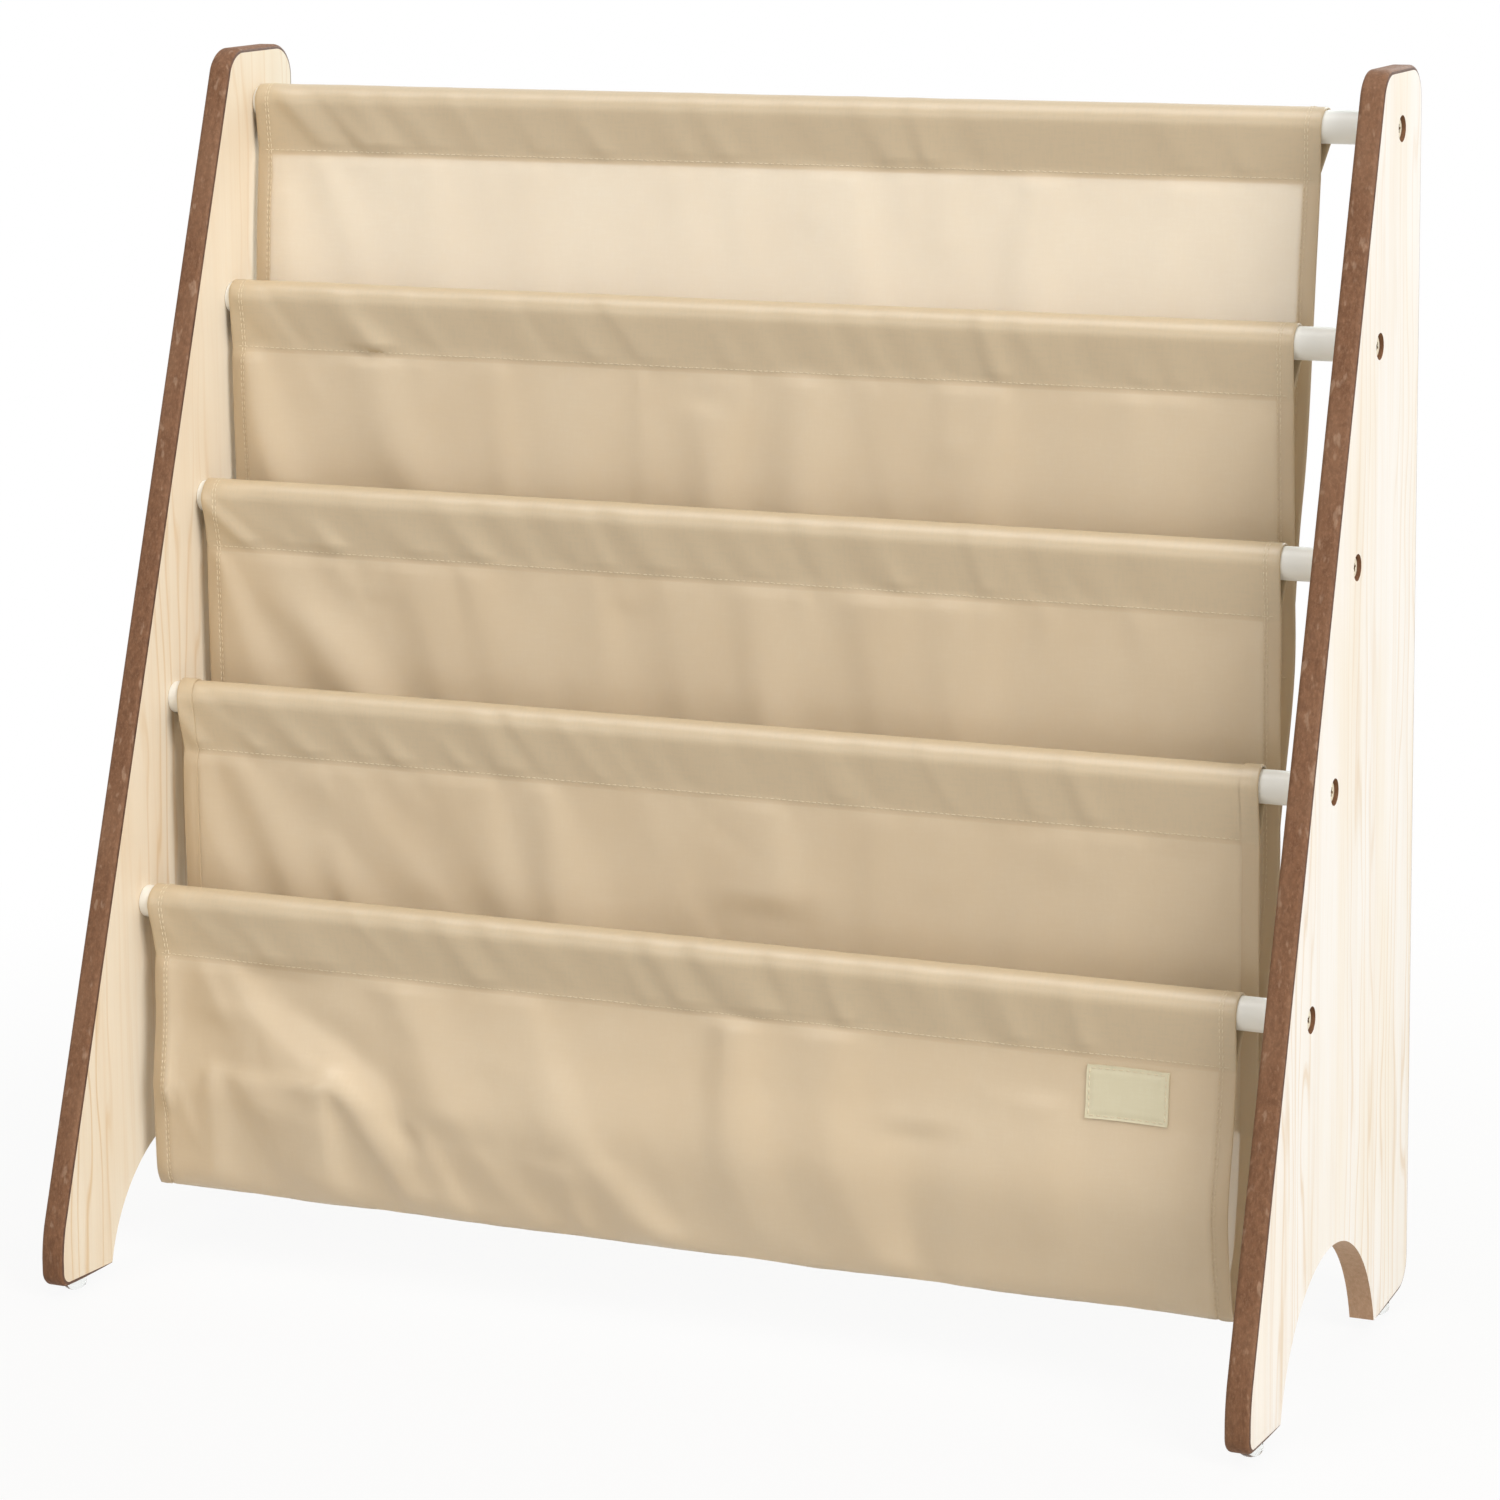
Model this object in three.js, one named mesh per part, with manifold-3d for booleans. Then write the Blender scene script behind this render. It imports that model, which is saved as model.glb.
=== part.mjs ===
// Sling bookshelf: two side panels, five cross rods and a sewn cloth sling that forms four pockets.
// Millimetres, +Z up, +X along the rods, the front facing -Y.
// The sling is the skilled feature: four sewn cloths, each stitched round its rod, hang one behind
// the other, and the foot of each is sewn to the wall of the next, as in the real shelf.
// Profiles are drawn in the plane of a side panel: y runs back from the foot of the slanting front
// line, z runs up from the foot of the panel.

import * as THREE from 'three';
import { mergeVertices, toCreasedNormals } from 'three/addons/utils/BufferGeometryUtils.js';
import Module from 'manifold-3d';

const wasm = await Module();
wasm.setup();

// Side panels
const panelHeight = 601;
const panelThickness = 12;
const footDepth = 269;
const topDepth = 63.6;
const innerWidth = 599;
const toeSetback = 8;
const toeRadius = 8;
const kneeRadius = 60;
const topFrontRadius = 16;
const topRearRadius = 17;
const heelRadius = 16;
const edgeRound = 2.4;
const frontFootLength = 47.5;
const rearFootLength = 60.5;
const archHeight = 59.4;

// Rods
const rodCount = 5;
const rodDiameter = 16;
const rodChamfer = 0.6;
const rodSetback = 37.9;
const topRodMargin = 28.7;
const bottomRodHeight = 177.1;

// Screws and their counterbores
const screwHeadDiameter = 11.6;
const screwHeadHeight = 3;
const screwRimHeight = 1.1;
const screwShankDiameter = 4.4;
const screwLength = 38;
const screwPointLength = 5;
const recessLength = 6;
const recessWidth = 1.3;
const recessDepth = 1.9;
const headRecess = 1.5;
const counterboreClearance = 0.55;
const shankClearance = 0.3;
const pilotExtraDepth = 3;

// Glides
const glideDiameter = 11.6;
const glideHeight = 5.9;
const glideTipDiameter = 4.4;
const frontGlideInset = 21.5;
const rearGlideInset = 33;

// Sling
const clothThickness = 0.9;
const hemThickness = 1.6;
const hemWidth = 7;
const hemStep = 1.5;
const leftGap = 4.5;
const rightGap = 23;
const casingGap = 0.4;
const casingDrop = 24.3;
const wallSetback = 7;
const pocketDrop = 152.7;
const seamAllowance = 11;
const seamGap = 0.3;
const backLean = 13;
const floorDrop = 143.4;
const pocketBelly = 12;
const foldDepth = 2;
const broadFold = 190;
const narrowFold = 118;
const foldDriftShare = 0.24;
const stationPitch = 40;
const lowestSeamShare = 0.33;
const leastMitreShare = 0.7;

// The front cloth's way round the pocket floor, from its seam to the face: how far across from the
// rear wall, and how high between the floor and the seam's foot
const turnShares = [
  { across: 0.14, up: 0.5 },
  { across: 0.36, up: 0.2 },
  { across: 0.76, up: 0 },
];

// Its face, from the floor up to the front casing: the share of the belly, and the height
const faceShares = [
  { belly: 0.45, up: 0.13 },
  { belly: 1, up: 0.44 },
  { belly: 0.35, up: 0.76 },
];

// Label patch
const labelWidth = 40;
const labelHeight = 24.5;
const labelThickness = 0.7;
const labelHemGap = 22.5;
const labelDrop = 5;

// Steps of the curved faces
const filletSteps = 5;
const archSteps = 22;
const roundSteps = 24;
const smallSteps = 12;
const casingSteps = 7;
const tunnelSteps = 6;
const glideSteps = 16;
const turnSteps = 10;
const cutOverrun = 1;

// Sizes that follow from the ones above
const lean = (footDepth - topDepth) / panelHeight;
const archWidth = footDepth - toeSetback - frontFootLength - rearFootLength;
const rodRadius = rodDiameter / 2;
const topRodHeight = panelHeight - topRodMargin;
const rodPitch = (topRodHeight - bottomRodHeight) / (rodCount - 1);
const counterboreDiameter = screwHeadDiameter + 2 * counterboreClearance;
const counterboreDepth = screwHeadHeight + headRecess;
const holeDiameter = screwShankDiameter + 2 * shankClearance;
const webThickness = panelThickness - counterboreDepth;
const pilotDepth = screwLength - webThickness + pilotExtraDepth;
const slingLeft = -innerWidth / 2 + leftGap;
const slingRight = innerWidth / 2 - rightGap;
const labelRight = slingRight - hemWidth - labelHemGap;
const labelLeft = labelRight - labelWidth;

const panelPale = 0xf1e4cc;
const rodWhite = 0xeef0ec;
const zincYellow = 0xc2a364;
const clearPlastic = 0xdfe4e6;
const clothCream = 0xe3d0aa;
const labelCream = 0xf2e8c2;

function finish(color, roughness, metalness) {
  return new THREE.MeshStandardMaterial({ color, roughness, metalness });
}

function namedMesh(name, geometry, material) {
  const mesh = new THREE.Mesh(geometry, material);
  mesh.name = name;
  return mesh;
}

// Solids for cutting and joining

function toSolid(geometry) {
  const bare = geometry.clone();
  bare.deleteAttribute('normal');
  bare.deleteAttribute('uv');
  const merged = mergeVertices(bare);
  const vertProperties = new Float32Array(merged.attributes.position.array);
  const triVerts = new Uint32Array(merged.index.array);
  return new wasm.Manifold(new wasm.Mesh({ numProp: 3, vertProperties, triVerts }));
}

function toGeometry(solid) {
  const mesh = solid.getMesh();
  const geometry = new THREE.BufferGeometry();
  geometry.setAttribute('position', new THREE.BufferAttribute(new Float32Array(mesh.vertProperties), 3));
  geometry.setIndex(new THREE.BufferAttribute(new Uint32Array(mesh.triVerts), 1));
  return toCreasedNormals(geometry, Math.PI / 6);
}

// Heights and places of the rods, the top one first

function frontLine(z) {
  return lean * z;
}

function rodPlaces() {
  const places = [];
  for (let i = 0; i < rodCount; i += 1) {
    const z = topRodHeight - i * rodPitch;
    places.push(new THREE.Vector2(frontLine(z) + rodSetback, z));
  }
  return places;
}

// Side panel

function roundedOutline(corners) {
  const shape = new THREE.Shape();
  corners.forEach((corner, i) => {
    const before = corners[(i + corners.length - 1) % corners.length].point;
    const after = corners[(i + 1) % corners.length].point;
    const inward = before.clone().sub(corner.point).normalize();
    const outward = after.clone().sub(corner.point).normalize();
    const half = Math.acos(inward.dot(outward)) / 2;
    const room = Math.min(before.distanceTo(corner.point), after.distanceTo(corner.point)) / 2;
    const reach = Math.min(corner.radius / Math.tan(half), room);
    const radius = reach * Math.tan(half);
    const centre = inward.clone().add(outward).normalize();
    centre.multiplyScalar(radius / Math.sin(half)).add(corner.point);
    const start = inward.multiplyScalar(reach).add(corner.point).sub(centre).angle();
    const end = outward.multiplyScalar(reach).add(corner.point).sub(centre).angle();
    const sweep = THREE.MathUtils.euclideanModulo(end - start + Math.PI, 2 * Math.PI) - Math.PI;
    for (let k = 0; k <= filletSteps; k += 1) {
      const angle = start + (sweep * k) / filletSteps;
      const x = centre.x + radius * Math.cos(angle);
      const y = centre.y + radius * Math.sin(angle);
      if (i === 0 && k === 0) {
        shape.moveTo(x, y);
      } else {
        shape.lineTo(x, y);
      }
    }
  });
  shape.closePath();
  return shape;
}

function panelOutline() {
  const kneeHeight = toeSetback / lean;
  return roundedOutline([
    { point: new THREE.Vector2(toeSetback, 0), radius: toeRadius },
    { point: new THREE.Vector2(footDepth, 0), radius: heelRadius },
    { point: new THREE.Vector2(footDepth, panelHeight), radius: topRearRadius },
    { point: new THREE.Vector2(frontLine(panelHeight), panelHeight), radius: topFrontRadius },
    { point: new THREE.Vector2(toeSetback, kneeHeight), radius: kneeRadius },
  ]);
}

function archCutter() {
  const radius = (archWidth * archWidth) / (8 * archHeight) + archHeight / 2;
  const centreY = toeSetback + frontFootLength + archWidth / 2;
  const centreZ = archHeight - radius;
  const spread = Math.atan2(archWidth / 2, -centreZ);
  const shape = new THREE.Shape();
  shape.moveTo(centreY - archWidth / 2, -cutOverrun);
  for (let k = 0; k <= archSteps; k += 1) {
    const angle = Math.PI / 2 + spread - (2 * spread * k) / archSteps;
    shape.lineTo(centreY + radius * Math.cos(angle), centreZ + radius * Math.sin(angle));
  }
  shape.lineTo(centreY + archWidth / 2, -cutOverrun);
  shape.closePath();
  return slabOf(shape, panelThickness + 2 * cutOverrun, -cutOverrun);
}

// A shape drawn in y and z, made solid along X from the given start.
function slabOf(shape, depth, start) {
  const geometry = new THREE.ExtrudeGeometry(shape, { depth, bevelEnabled: false });
  return standUp(geometry.translate(0, 0, start));
}

// Turns a drawing's x, y and depth into the object's y, z and x.
function standUp(geometry) {
  return geometry.applyMatrix4(new THREE.Matrix4().set(0, 0, 1, 0, 1, 0, 0, 0, 0, 1, 0, 0, 0, 0, 0, 1));
}

function borePlug(diameter, from, to, place) {
  const geometry = new THREE.CylinderGeometry(diameter / 2, diameter / 2, to - from, roundSteps);
  geometry.rotateZ(Math.PI / 2);
  return geometry.translate((from + to) / 2, place.x, place.y);
}

// The panel lies from x = 0, its inner face, to x = panelThickness, its outer face.
function panelSolid() {
  const flat = new THREE.ExtrudeGeometry(panelOutline(), {
    depth: panelThickness - 2 * edgeRound,
    bevelThickness: edgeRound,
    bevelSize: edgeRound,
    bevelOffset: -edgeRound,
    bevelSegments: 3,
  });
  let solid = toSolid(standUp(flat.translate(0, 0, edgeRound)));
  solid = solid.subtract(toSolid(archCutter()));
  rodPlaces().forEach((place) => {
    const bore = borePlug(counterboreDiameter, webThickness, panelThickness + cutOverrun, place);
    const hole = borePlug(holeDiameter, -cutOverrun, panelThickness - counterboreDepth / 2, place);
    solid = solid.subtract(toSolid(bore)).subtract(toSolid(hole));
  });
  return solid;
}

function sidePanel(name, side) {
  let solid = panelSolid();
  if (side < 0) {
    solid = solid.mirror([1, 0, 0]);
  }
  const mesh = namedMesh(name, toGeometry(solid), finish(panelPale, 0.5, 0));
  mesh.position.x = (side * innerWidth) / 2;
  return mesh;
}

// Rod: a painted dowel with a blind pilot hole in each end

function rodGeometry() {
  const half = innerWidth / 2;
  const pilotRadius = holeDiameter / 2;
  const profile = [
    new THREE.Vector2(0, -half + pilotDepth),
    new THREE.Vector2(pilotRadius, -half + pilotDepth),
    new THREE.Vector2(pilotRadius, -half),
    new THREE.Vector2(rodRadius - rodChamfer, -half),
    new THREE.Vector2(rodRadius, -half + rodChamfer),
    new THREE.Vector2(rodRadius, half - rodChamfer),
    new THREE.Vector2(rodRadius - rodChamfer, half),
    new THREE.Vector2(pilotRadius, half),
    new THREE.Vector2(pilotRadius, half - pilotDepth),
    new THREE.Vector2(0, half - pilotDepth),
  ];
  return new THREE.LatheGeometry(profile, roundSteps).rotateZ(-Math.PI / 2);
}

function rod(name, place) {
  const mesh = namedMesh(name, rodGeometry(), finish(rodWhite, 0.35, 0));
  mesh.position.set(0, place.x, place.y);
  return mesh;
}

// Pan-head screw with a cross recess, its head's seat at x = 0 and its point towards -X

function screwGeometry() {
  const shankRadius = screwShankDiameter / 2;
  const headRadius = screwHeadDiameter / 2;
  const crownHeight = screwHeadHeight - screwRimHeight;
  const profile = [
    new THREE.Vector2(0, -screwLength),
    new THREE.Vector2(shankRadius, -screwLength + screwPointLength),
    new THREE.Vector2(shankRadius, 0),
    new THREE.Vector2(headRadius, 0),
    new THREE.Vector2(headRadius, screwRimHeight),
  ];
  const crownSteps = 3;
  for (let k = 1; k <= crownSteps; k += 1) {
    const angle = (Math.PI / 2) * (k / crownSteps);
    const x = k === crownSteps ? 0 : headRadius * Math.cos(angle);
    profile.push(new THREE.Vector2(x, screwRimHeight + crownHeight * Math.sin(angle)));
  }
  let solid = toSolid(new THREE.LatheGeometry(profile, smallSteps));
  const slotHeight = recessDepth + cutOverrun;
  const slot = new THREE.BoxGeometry(recessLength, slotHeight, recessWidth);
  slot.translate(0, screwHeadHeight - recessDepth + slotHeight / 2, 0);
  const cross = toSolid(slot).add(toSolid(slot.clone().rotateY(Math.PI / 2)));
  solid = solid.subtract(cross);
  return toGeometry(solid).rotateZ(-Math.PI / 2);
}

function screw(name, place, side) {
  const mesh = namedMesh(name, screwGeometry(), finish(zincYellow, 0.35, 0.85));
  mesh.position.set(side * (innerWidth / 2 + webThickness), place.x, place.y);
  if (side < 0) {
    mesh.rotation.z = Math.PI;
  }
  return mesh;
}

// Domed clear glide under each foot, its flat back against the panel

function glideGeometry() {
  const radius = glideDiameter / 2;
  const tipRadius = glideTipDiameter / 2;
  const domeSteps = 4;
  const tipAngle = Math.acos(Math.min(tipRadius / radius, 1));
  const profile = [new THREE.Vector2(0, -glideHeight)];
  for (let k = 0; k <= domeSteps; k += 1) {
    const angle = tipAngle * (1 - k / domeSteps);
    const rise = Math.sin(angle) / Math.sin(tipAngle);
    profile.push(new THREE.Vector2(radius * Math.cos(angle), -glideHeight * rise));
  }
  profile.push(new THREE.Vector2(0, 0));
  return new THREE.LatheGeometry(profile, glideSteps).rotateX(Math.PI / 2);
}

function glide(name, side, y) {
  const mesh = namedMesh(name, glideGeometry(), finish(clearPlastic, 0.15, 0));
  mesh.position.set((side * (innerWidth + panelThickness)) / 2, y, 0);
  return mesh;
}

// Sling cloths

// Where the cross-sections of the sling are drawn along X.
function slingStations() {
  const inner = [labelLeft, labelRight];
  const from = slingLeft + hemWidth + hemStep;
  const to = slingRight - hemWidth - hemStep;
  const spans = Math.round((to - from) / stationPitch);
  for (let k = 0; k <= spans; k += 1) {
    const x = from + ((to - from) * k) / spans;
    const nearLabel = x > labelLeft - stationPitch / 3 && x < labelRight + stationPitch / 3;
    if (k === 0 || k === spans || !nearLabel) {
      inner.push(x);
    }
  }
  inner.sort((a, b) => a - b);
  return [slingLeft, slingLeft + hemWidth, ...inner, slingRight - hemWidth, slingRight];
}

function thicknessAt(x) {
  const inHem = x <= slingLeft + hemWidth || x >= slingRight - hemWidth;
  return inHem ? Math.max(hemThickness, clothThickness) : clothThickness;
}

// The soft vertical folds, which grow from nothing under a casing to their full depth.
function foldAt(x, z, stitchHeight) {
  const onset = (pocketDrop - casingDrop) / 2;
  const growth = THREE.MathUtils.smoothstep(stitchHeight - z, 0, onset);
  const broad = Math.sin((2 * Math.PI * (x + foldDriftShare * z)) / broadFold);
  const narrow = Math.sin((2 * Math.PI * (x - foldDriftShare * z)) / narrowFold);
  return (foldDepth * growth * (2 * broad + narrow)) / 3;
}

function straightTo(line, y, z, steps) {
  const start = line[line.length - 1];
  for (let k = 1; k <= steps; k += 1) {
    line.push(start.clone().lerp(new THREE.Vector2(y, z), k / steps));
  }
}

// The middle line of the front cloth: down from the last rod but one, round the pocket floor and up.
function frontClothLine(rods) {
  const back = rods[rodCount - 2];
  const front = rods[rodCount - 1];
  const floor = front.y - floorDrop;
  const seam = Math.max(back.y - pocketDrop, floor + floorDrop * lowestSeamShare);
  const frontStitch = front.y - casingDrop;
  const rise = frontStitch - floor;
  const wallY = back.x - wallSetback;
  const faceY = front.x - wallSetback;
  const line = [new THREE.Vector2(wallY, back.y - casingDrop)];
  straightTo(line, wallY, seam, 3);
  straightTo(line, wallY, seam - seamAllowance, 1);
  const drawn = seam - seamAllowance - floor;
  const width = wallY - faceY;
  const turn = new THREE.SplineCurve([
    line[line.length - 1].clone(),
    ...turnShares.map(({ across, up }) => new THREE.Vector2(wallY - width * across, floor + drawn * up)),
    ...faceShares.map(({ belly, up }) => new THREE.Vector2(faceY - pocketBelly * belly, floor + rise * up)),
    new THREE.Vector2(faceY, frontStitch),
  ]);
  turn.getSpacedPoints(turnSteps).slice(1).forEach((point) => line.push(point));
  return line;
}

// The middle line of a hanging cloth: a wall under its rod, then forward to the next cloth, whose
// back it lies against for the seam allowance.
function hangingClothLine(rods, i, nextLine, reach) {
  const place = rods[i];
  const next = rods[i + 1];
  const bend = place.y - pocketDrop;
  const seam = next.y - pocketDrop;
  const forward = i === 0 ? backLean : 0;
  const seat = offsetBelow(nextLine, seam, reach);
  const line = [new THREE.Vector2(place.x - wallSetback, place.y - casingDrop)];
  straightTo(line, place.x - wallSetback - forward, bend, 3);
  const corner = line[line.length - 1];
  const seatOfLast = corner.clone().lerp(seat[0], seamAllowance / (bend - seat[0].y));
  straightTo(line, seatOfLast.x, seatOfLast.y, 1);
  straightTo(line, seat[0].x, seat[0].y, 3);
  straightTo(line, seat[1].x, seat[1].y, 1);
  return line;
}

// Two points behind the next cloth, the given distance off it, at the seam and below its allowance.
function offsetBelow(line, height, distance) {
  const top = crossing(line, height);
  const bottom = crossing(line, height - seamAllowance);
  const along = bottom.clone().sub(top).normalize();
  const behind = new THREE.Vector2(-along.y, along.x).multiplyScalar(distance);
  return [top.add(behind), bottom.add(behind)];
}

function crossing(line, height) {
  for (let k = 1; k < line.length; k += 1) {
    const above = line[k - 1];
    const below = line[k];
    if (above.y >= height && below.y <= height) {
      const share = (above.y - height) / Math.max(above.y - below.y, Number.EPSILON);
      return above.clone().lerp(below, share);
    }
  }
  return line[line.length - 1].clone();
}

// A line moved sideways by the given distance, to the left of its direction.
function besideLine(line, distance) {
  return line.map((point, k) => {
    const before = line[Math.max(k - 1, 0)];
    const after = line[Math.min(k + 1, line.length - 1)];
    const along = after.clone().sub(before).normalize();
    const into = point.clone().sub(before).normalize();
    const mitre = k === 0 ? 1 : Math.max(along.dot(into), leastMitreShare);
    return point.clone().add(new THREE.Vector2(-along.y, along.x).multiplyScalar(distance / mitre));
  });
}

// Points round a rod from one tangent point to the other, the long way, as seen from below. The
// faces between them touch the circle of the given radius, so they clear what is inside it.
function roundRod(centre, radius, from, to, steps) {
  const points = [];
  const start = tangentAngle(centre, radius, from, -1);
  const end = tangentAngle(centre, radius, to, 1);
  const sweep = THREE.MathUtils.euclideanModulo(start - end, 2 * Math.PI);
  const outside = radius / Math.cos(sweep / (2 * steps));
  for (let k = 0; k <= steps; k += 1) {
    const angle = start - (sweep * k) / steps;
    points.push(new THREE.Vector2(Math.cos(angle), Math.sin(angle)).multiplyScalar(outside).add(centre));
  }
  return points;
}

function tangentAngle(centre, radius, point, side) {
  const away = point.clone().sub(centre);
  return away.angle() + side * Math.acos(Math.min(radius / away.length(), 1));
}

// The casing tunnel: round the rod and down to a point just above the stitches.
function tunnelLoop(centre, stitch, thickness) {
  const radius = rodRadius + casingGap;
  const up = centre.clone().sub(stitch).normalize();
  const apex = stitch.clone().add(up.multiplyScalar(2 * thickness));
  return [apex, ...roundRod(centre, radius, apex, apex, tunnelSteps)];
}

// One cross-section of a cloth at x: its outer loop and its casing tunnels.
function clothSection(line, rodsHeld, x, fold) {
  const thickness = thicknessAt(x);
  const rear = besideLine(line, thickness / 2);
  const front = besideLine(line, -thickness / 2);
  const outerRadius = rodRadius + casingGap + thickness;
  const top = rodsHeld[0];
  let outer = [...front].reverse();
  outer = outer.concat(roundRod(top, outerRadius, front[0], rear[0], casingSteps));
  outer = outer.concat(rear);
  if (rodsHeld.length > 1) {
    const end = rodsHeld[1];
    const lastRear = rear[rear.length - 1];
    const lastFront = front[front.length - 1];
    outer = outer.concat(roundRod(end, outerRadius, lastRear, lastFront, casingSteps));
  }
  const ends = [line[0], line[line.length - 1]];
  const holes = rodsHeld.map((held, k) => tunnelLoop(held, ends[k], thickness));
  return {
    x,
    outer: outer.map((point) => fold(x, point)),
    holes: holes.map((hole) => hole.map((point) => fold(x, point))),
  };
}

function facing(loop, counterClockwise) {
  const isCounter = !THREE.ShapeUtils.isClockWise(loop);
  return isCounter === counterClockwise ? loop : [...loop].reverse();
}

// Joins cross-sections that have the same loops into one closed skin.
function skinSections(sections) {
  const positions = [];
  const index = [];
  const rings = sections.map((section) => {
    const loops = [facing(section.outer, true), ...section.holes.map((hole) => facing(hole, false))];
    return loops.map((loop) => loop.map((point) => {
      positions.push(section.x, point.x, point.y);
      return positions.length / 3 - 1;
    }));
  });
  for (let s = 1; s < rings.length; s += 1) {
    rings[s].forEach((ring, r) => {
      const last = rings[s - 1][r];
      ring.forEach((corner, k) => {
        const n = (k + 1) % ring.length;
        index.push(last[k], last[n], ring[n]);
        index.push(last[k], ring[n], corner);
      });
    });
  }
  [0, sections.length - 1].forEach((s) => {
    const loops = [facing(sections[s].outer, true), ...sections[s].holes.map((hole) => facing(hole, false))];
    const ids = rings[s].flat();
    THREE.ShapeUtils.triangulateShape(loops[0], loops.slice(1)).forEach((face) => {
      const corners = face.map((k) => ids[k]);
      index.push(...(s === 0 ? corners.reverse() : corners));
    });
  });
  const geometry = new THREE.BufferGeometry();
  geometry.setAttribute('position', new THREE.Float32BufferAttribute(positions, 3));
  geometry.setIndex(index);
  geometry.computeVertexNormals();
  return geometry;
}

// The middle lines of all cloths for one thickness, the front cloth last.
function clothLines(thickness) {
  const rods = rodPlaces();
  const lines = [frontClothLine(rods)];
  for (let i = rodCount - 3; i >= 0; i -= 1) {
    lines.unshift(hangingClothLine(rods, i, lines[0], thickness + seamGap));
  }
  return lines;
}

// Moves a point of a cloth by its folds, which hang from the stitches over the cloth's first wall.
function foldedPoint(x, point, stitchHeight) {
  return new THREE.Vector2(point.x + foldAt(x, point.y, stitchHeight), point.y);
}

function slingCloth(name, number) {
  const rods = rodPlaces();
  const isFront = number === rodCount - 2;
  const held = isFront ? [rods[number], rods[number + 1]] : [rods[number]];
  const halfway = (rods[number].x + rods[number + 1].x) / 2 - wallSetback;
  const sections = slingStations().map((x) => {
    const line = clothLines(thicknessAt(x))[number];
    return clothSection(line, held, x, (at, point) => {
      const behind = !isFront || point.x > halfway;
      const hungFrom = behind ? rods[number].y : rods[number + 1].y;
      return foldedPoint(at, point, hungFrom - casingDrop);
    });
  });
  return namedMesh(name, skinSections(sections), finish(clothCream, 0.8, 0));
}

// Bare label patch, sewn flat against the face of the front pocket

function labelPatch() {
  const rods = rodPlaces();
  const stitchHeight = rods[rodCount - 1].y - casingDrop;
  const top = stitchHeight - labelDrop;
  const line = clothLines(clothThickness)[rodCount - 2];
  const face = frontFace(line, top - labelHeight, top);
  const gap = clothThickness / 2 + seamGap;
  const sections = [labelLeft, labelRight].map((x) => {
    const near = besideLine(face, -gap);
    const far = besideLine(face, -gap - labelThickness);
    const outer = [...near, ...far.reverse()];
    return { x, outer: outer.map((point) => foldedPoint(x, point, stitchHeight)), holes: [] };
  });
  return namedMesh('label_patch', skinSections(sections), finish(labelCream, 0.75, 0));
}

// The part of the front pocket's middle line between two heights, from the lower to the upper.
function frontFace(line, low, high) {
  const lowest = line.reduce((best, point, k) => (point.y < line[best].y ? k : best), 0);
  const rising = line.slice(lowest);
  const falling = [...rising].reverse();
  const inside = rising.filter((point) => point.y > low && point.y < high);
  return [crossing(falling, low), ...inside, crossing(falling, high)];
}

// Assembly

const object = new THREE.Group();
const inPanelPlane = new THREE.Group();
inPanelPlane.position.set(0, -(toeSetback + footDepth) / 2, glideHeight);
object.add(inPanelPlane);

const sides = [['left', -1], ['right', 1]];
sides.forEach(([word, side]) => {
  inPanelPlane.add(sidePanel(`${word}_side_panel`, side));
  inPanelPlane.add(glide(`${word}_front_glide`, side, toeSetback + frontGlideInset));
  inPanelPlane.add(glide(`${word}_rear_glide`, side, footDepth - rearGlideInset));
});

rodPlaces().forEach((place, i) => {
  inPanelPlane.add(rod(`rod_${i + 1}`, place));
  sides.forEach(([word, side]) => {
    inPanelPlane.add(screw(`${word}_screw_${i + 1}`, place, side));
  });
});

for (let number = 0; number < rodCount - 1; number += 1) {
  inPanelPlane.add(slingCloth(`sling_cloth_${number + 1}`, number));
}
inPanelPlane.add(labelPatch());

export default object;
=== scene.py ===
import bpy
import bmesh
import math
import numpy as np
from mathutils import Matrix, Vector


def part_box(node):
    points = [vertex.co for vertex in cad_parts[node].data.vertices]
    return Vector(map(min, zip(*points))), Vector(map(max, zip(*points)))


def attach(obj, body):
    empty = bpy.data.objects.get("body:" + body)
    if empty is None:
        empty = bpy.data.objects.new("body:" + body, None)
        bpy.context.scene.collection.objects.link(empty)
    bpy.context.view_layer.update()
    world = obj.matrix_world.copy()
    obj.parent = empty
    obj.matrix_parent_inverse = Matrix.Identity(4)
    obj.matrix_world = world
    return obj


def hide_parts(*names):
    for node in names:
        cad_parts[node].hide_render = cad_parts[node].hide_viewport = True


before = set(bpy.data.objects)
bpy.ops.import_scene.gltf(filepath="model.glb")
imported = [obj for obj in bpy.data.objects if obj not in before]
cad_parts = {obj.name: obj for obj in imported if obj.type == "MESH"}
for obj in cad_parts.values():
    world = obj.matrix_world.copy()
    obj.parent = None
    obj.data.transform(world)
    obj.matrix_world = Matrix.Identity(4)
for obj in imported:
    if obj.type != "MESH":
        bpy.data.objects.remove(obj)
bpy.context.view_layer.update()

mm = 0.001


# Places that the CAD nodes give

def centreOf(node):
    low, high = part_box(node)
    return [(a + b) / 2 for a, b in zip(low, high)]


rodCentres = [centreOf(f"rod_{i}")[1:] for i in range(1, 6)]  # y and z, the top rod first


# Nodes of a material

def tint(color):  # a display colour, 0 to 255, as the shaders take it
    shares = [value / 255 for value in color]
    return (*(share / 12.92 if share <= 0.04045 else ((share + 0.055) / 1.055) ** 2.4 for share in shares), 1)


def newMaterial(name):
    material = bpy.data.materials.new(name)
    material.use_nodes = True
    material.node_tree.nodes.clear()
    return material


def addNode(material, kind, settings=None, **inputs):
    node = material.node_tree.nodes.new("ShaderNode" + kind)
    for key, value in (settings or {}).items():
        setattr(node, key, value)
    for key, value in inputs.items():
        put(material, value, node.inputs[key.replace("_", " ")])
    return node


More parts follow.
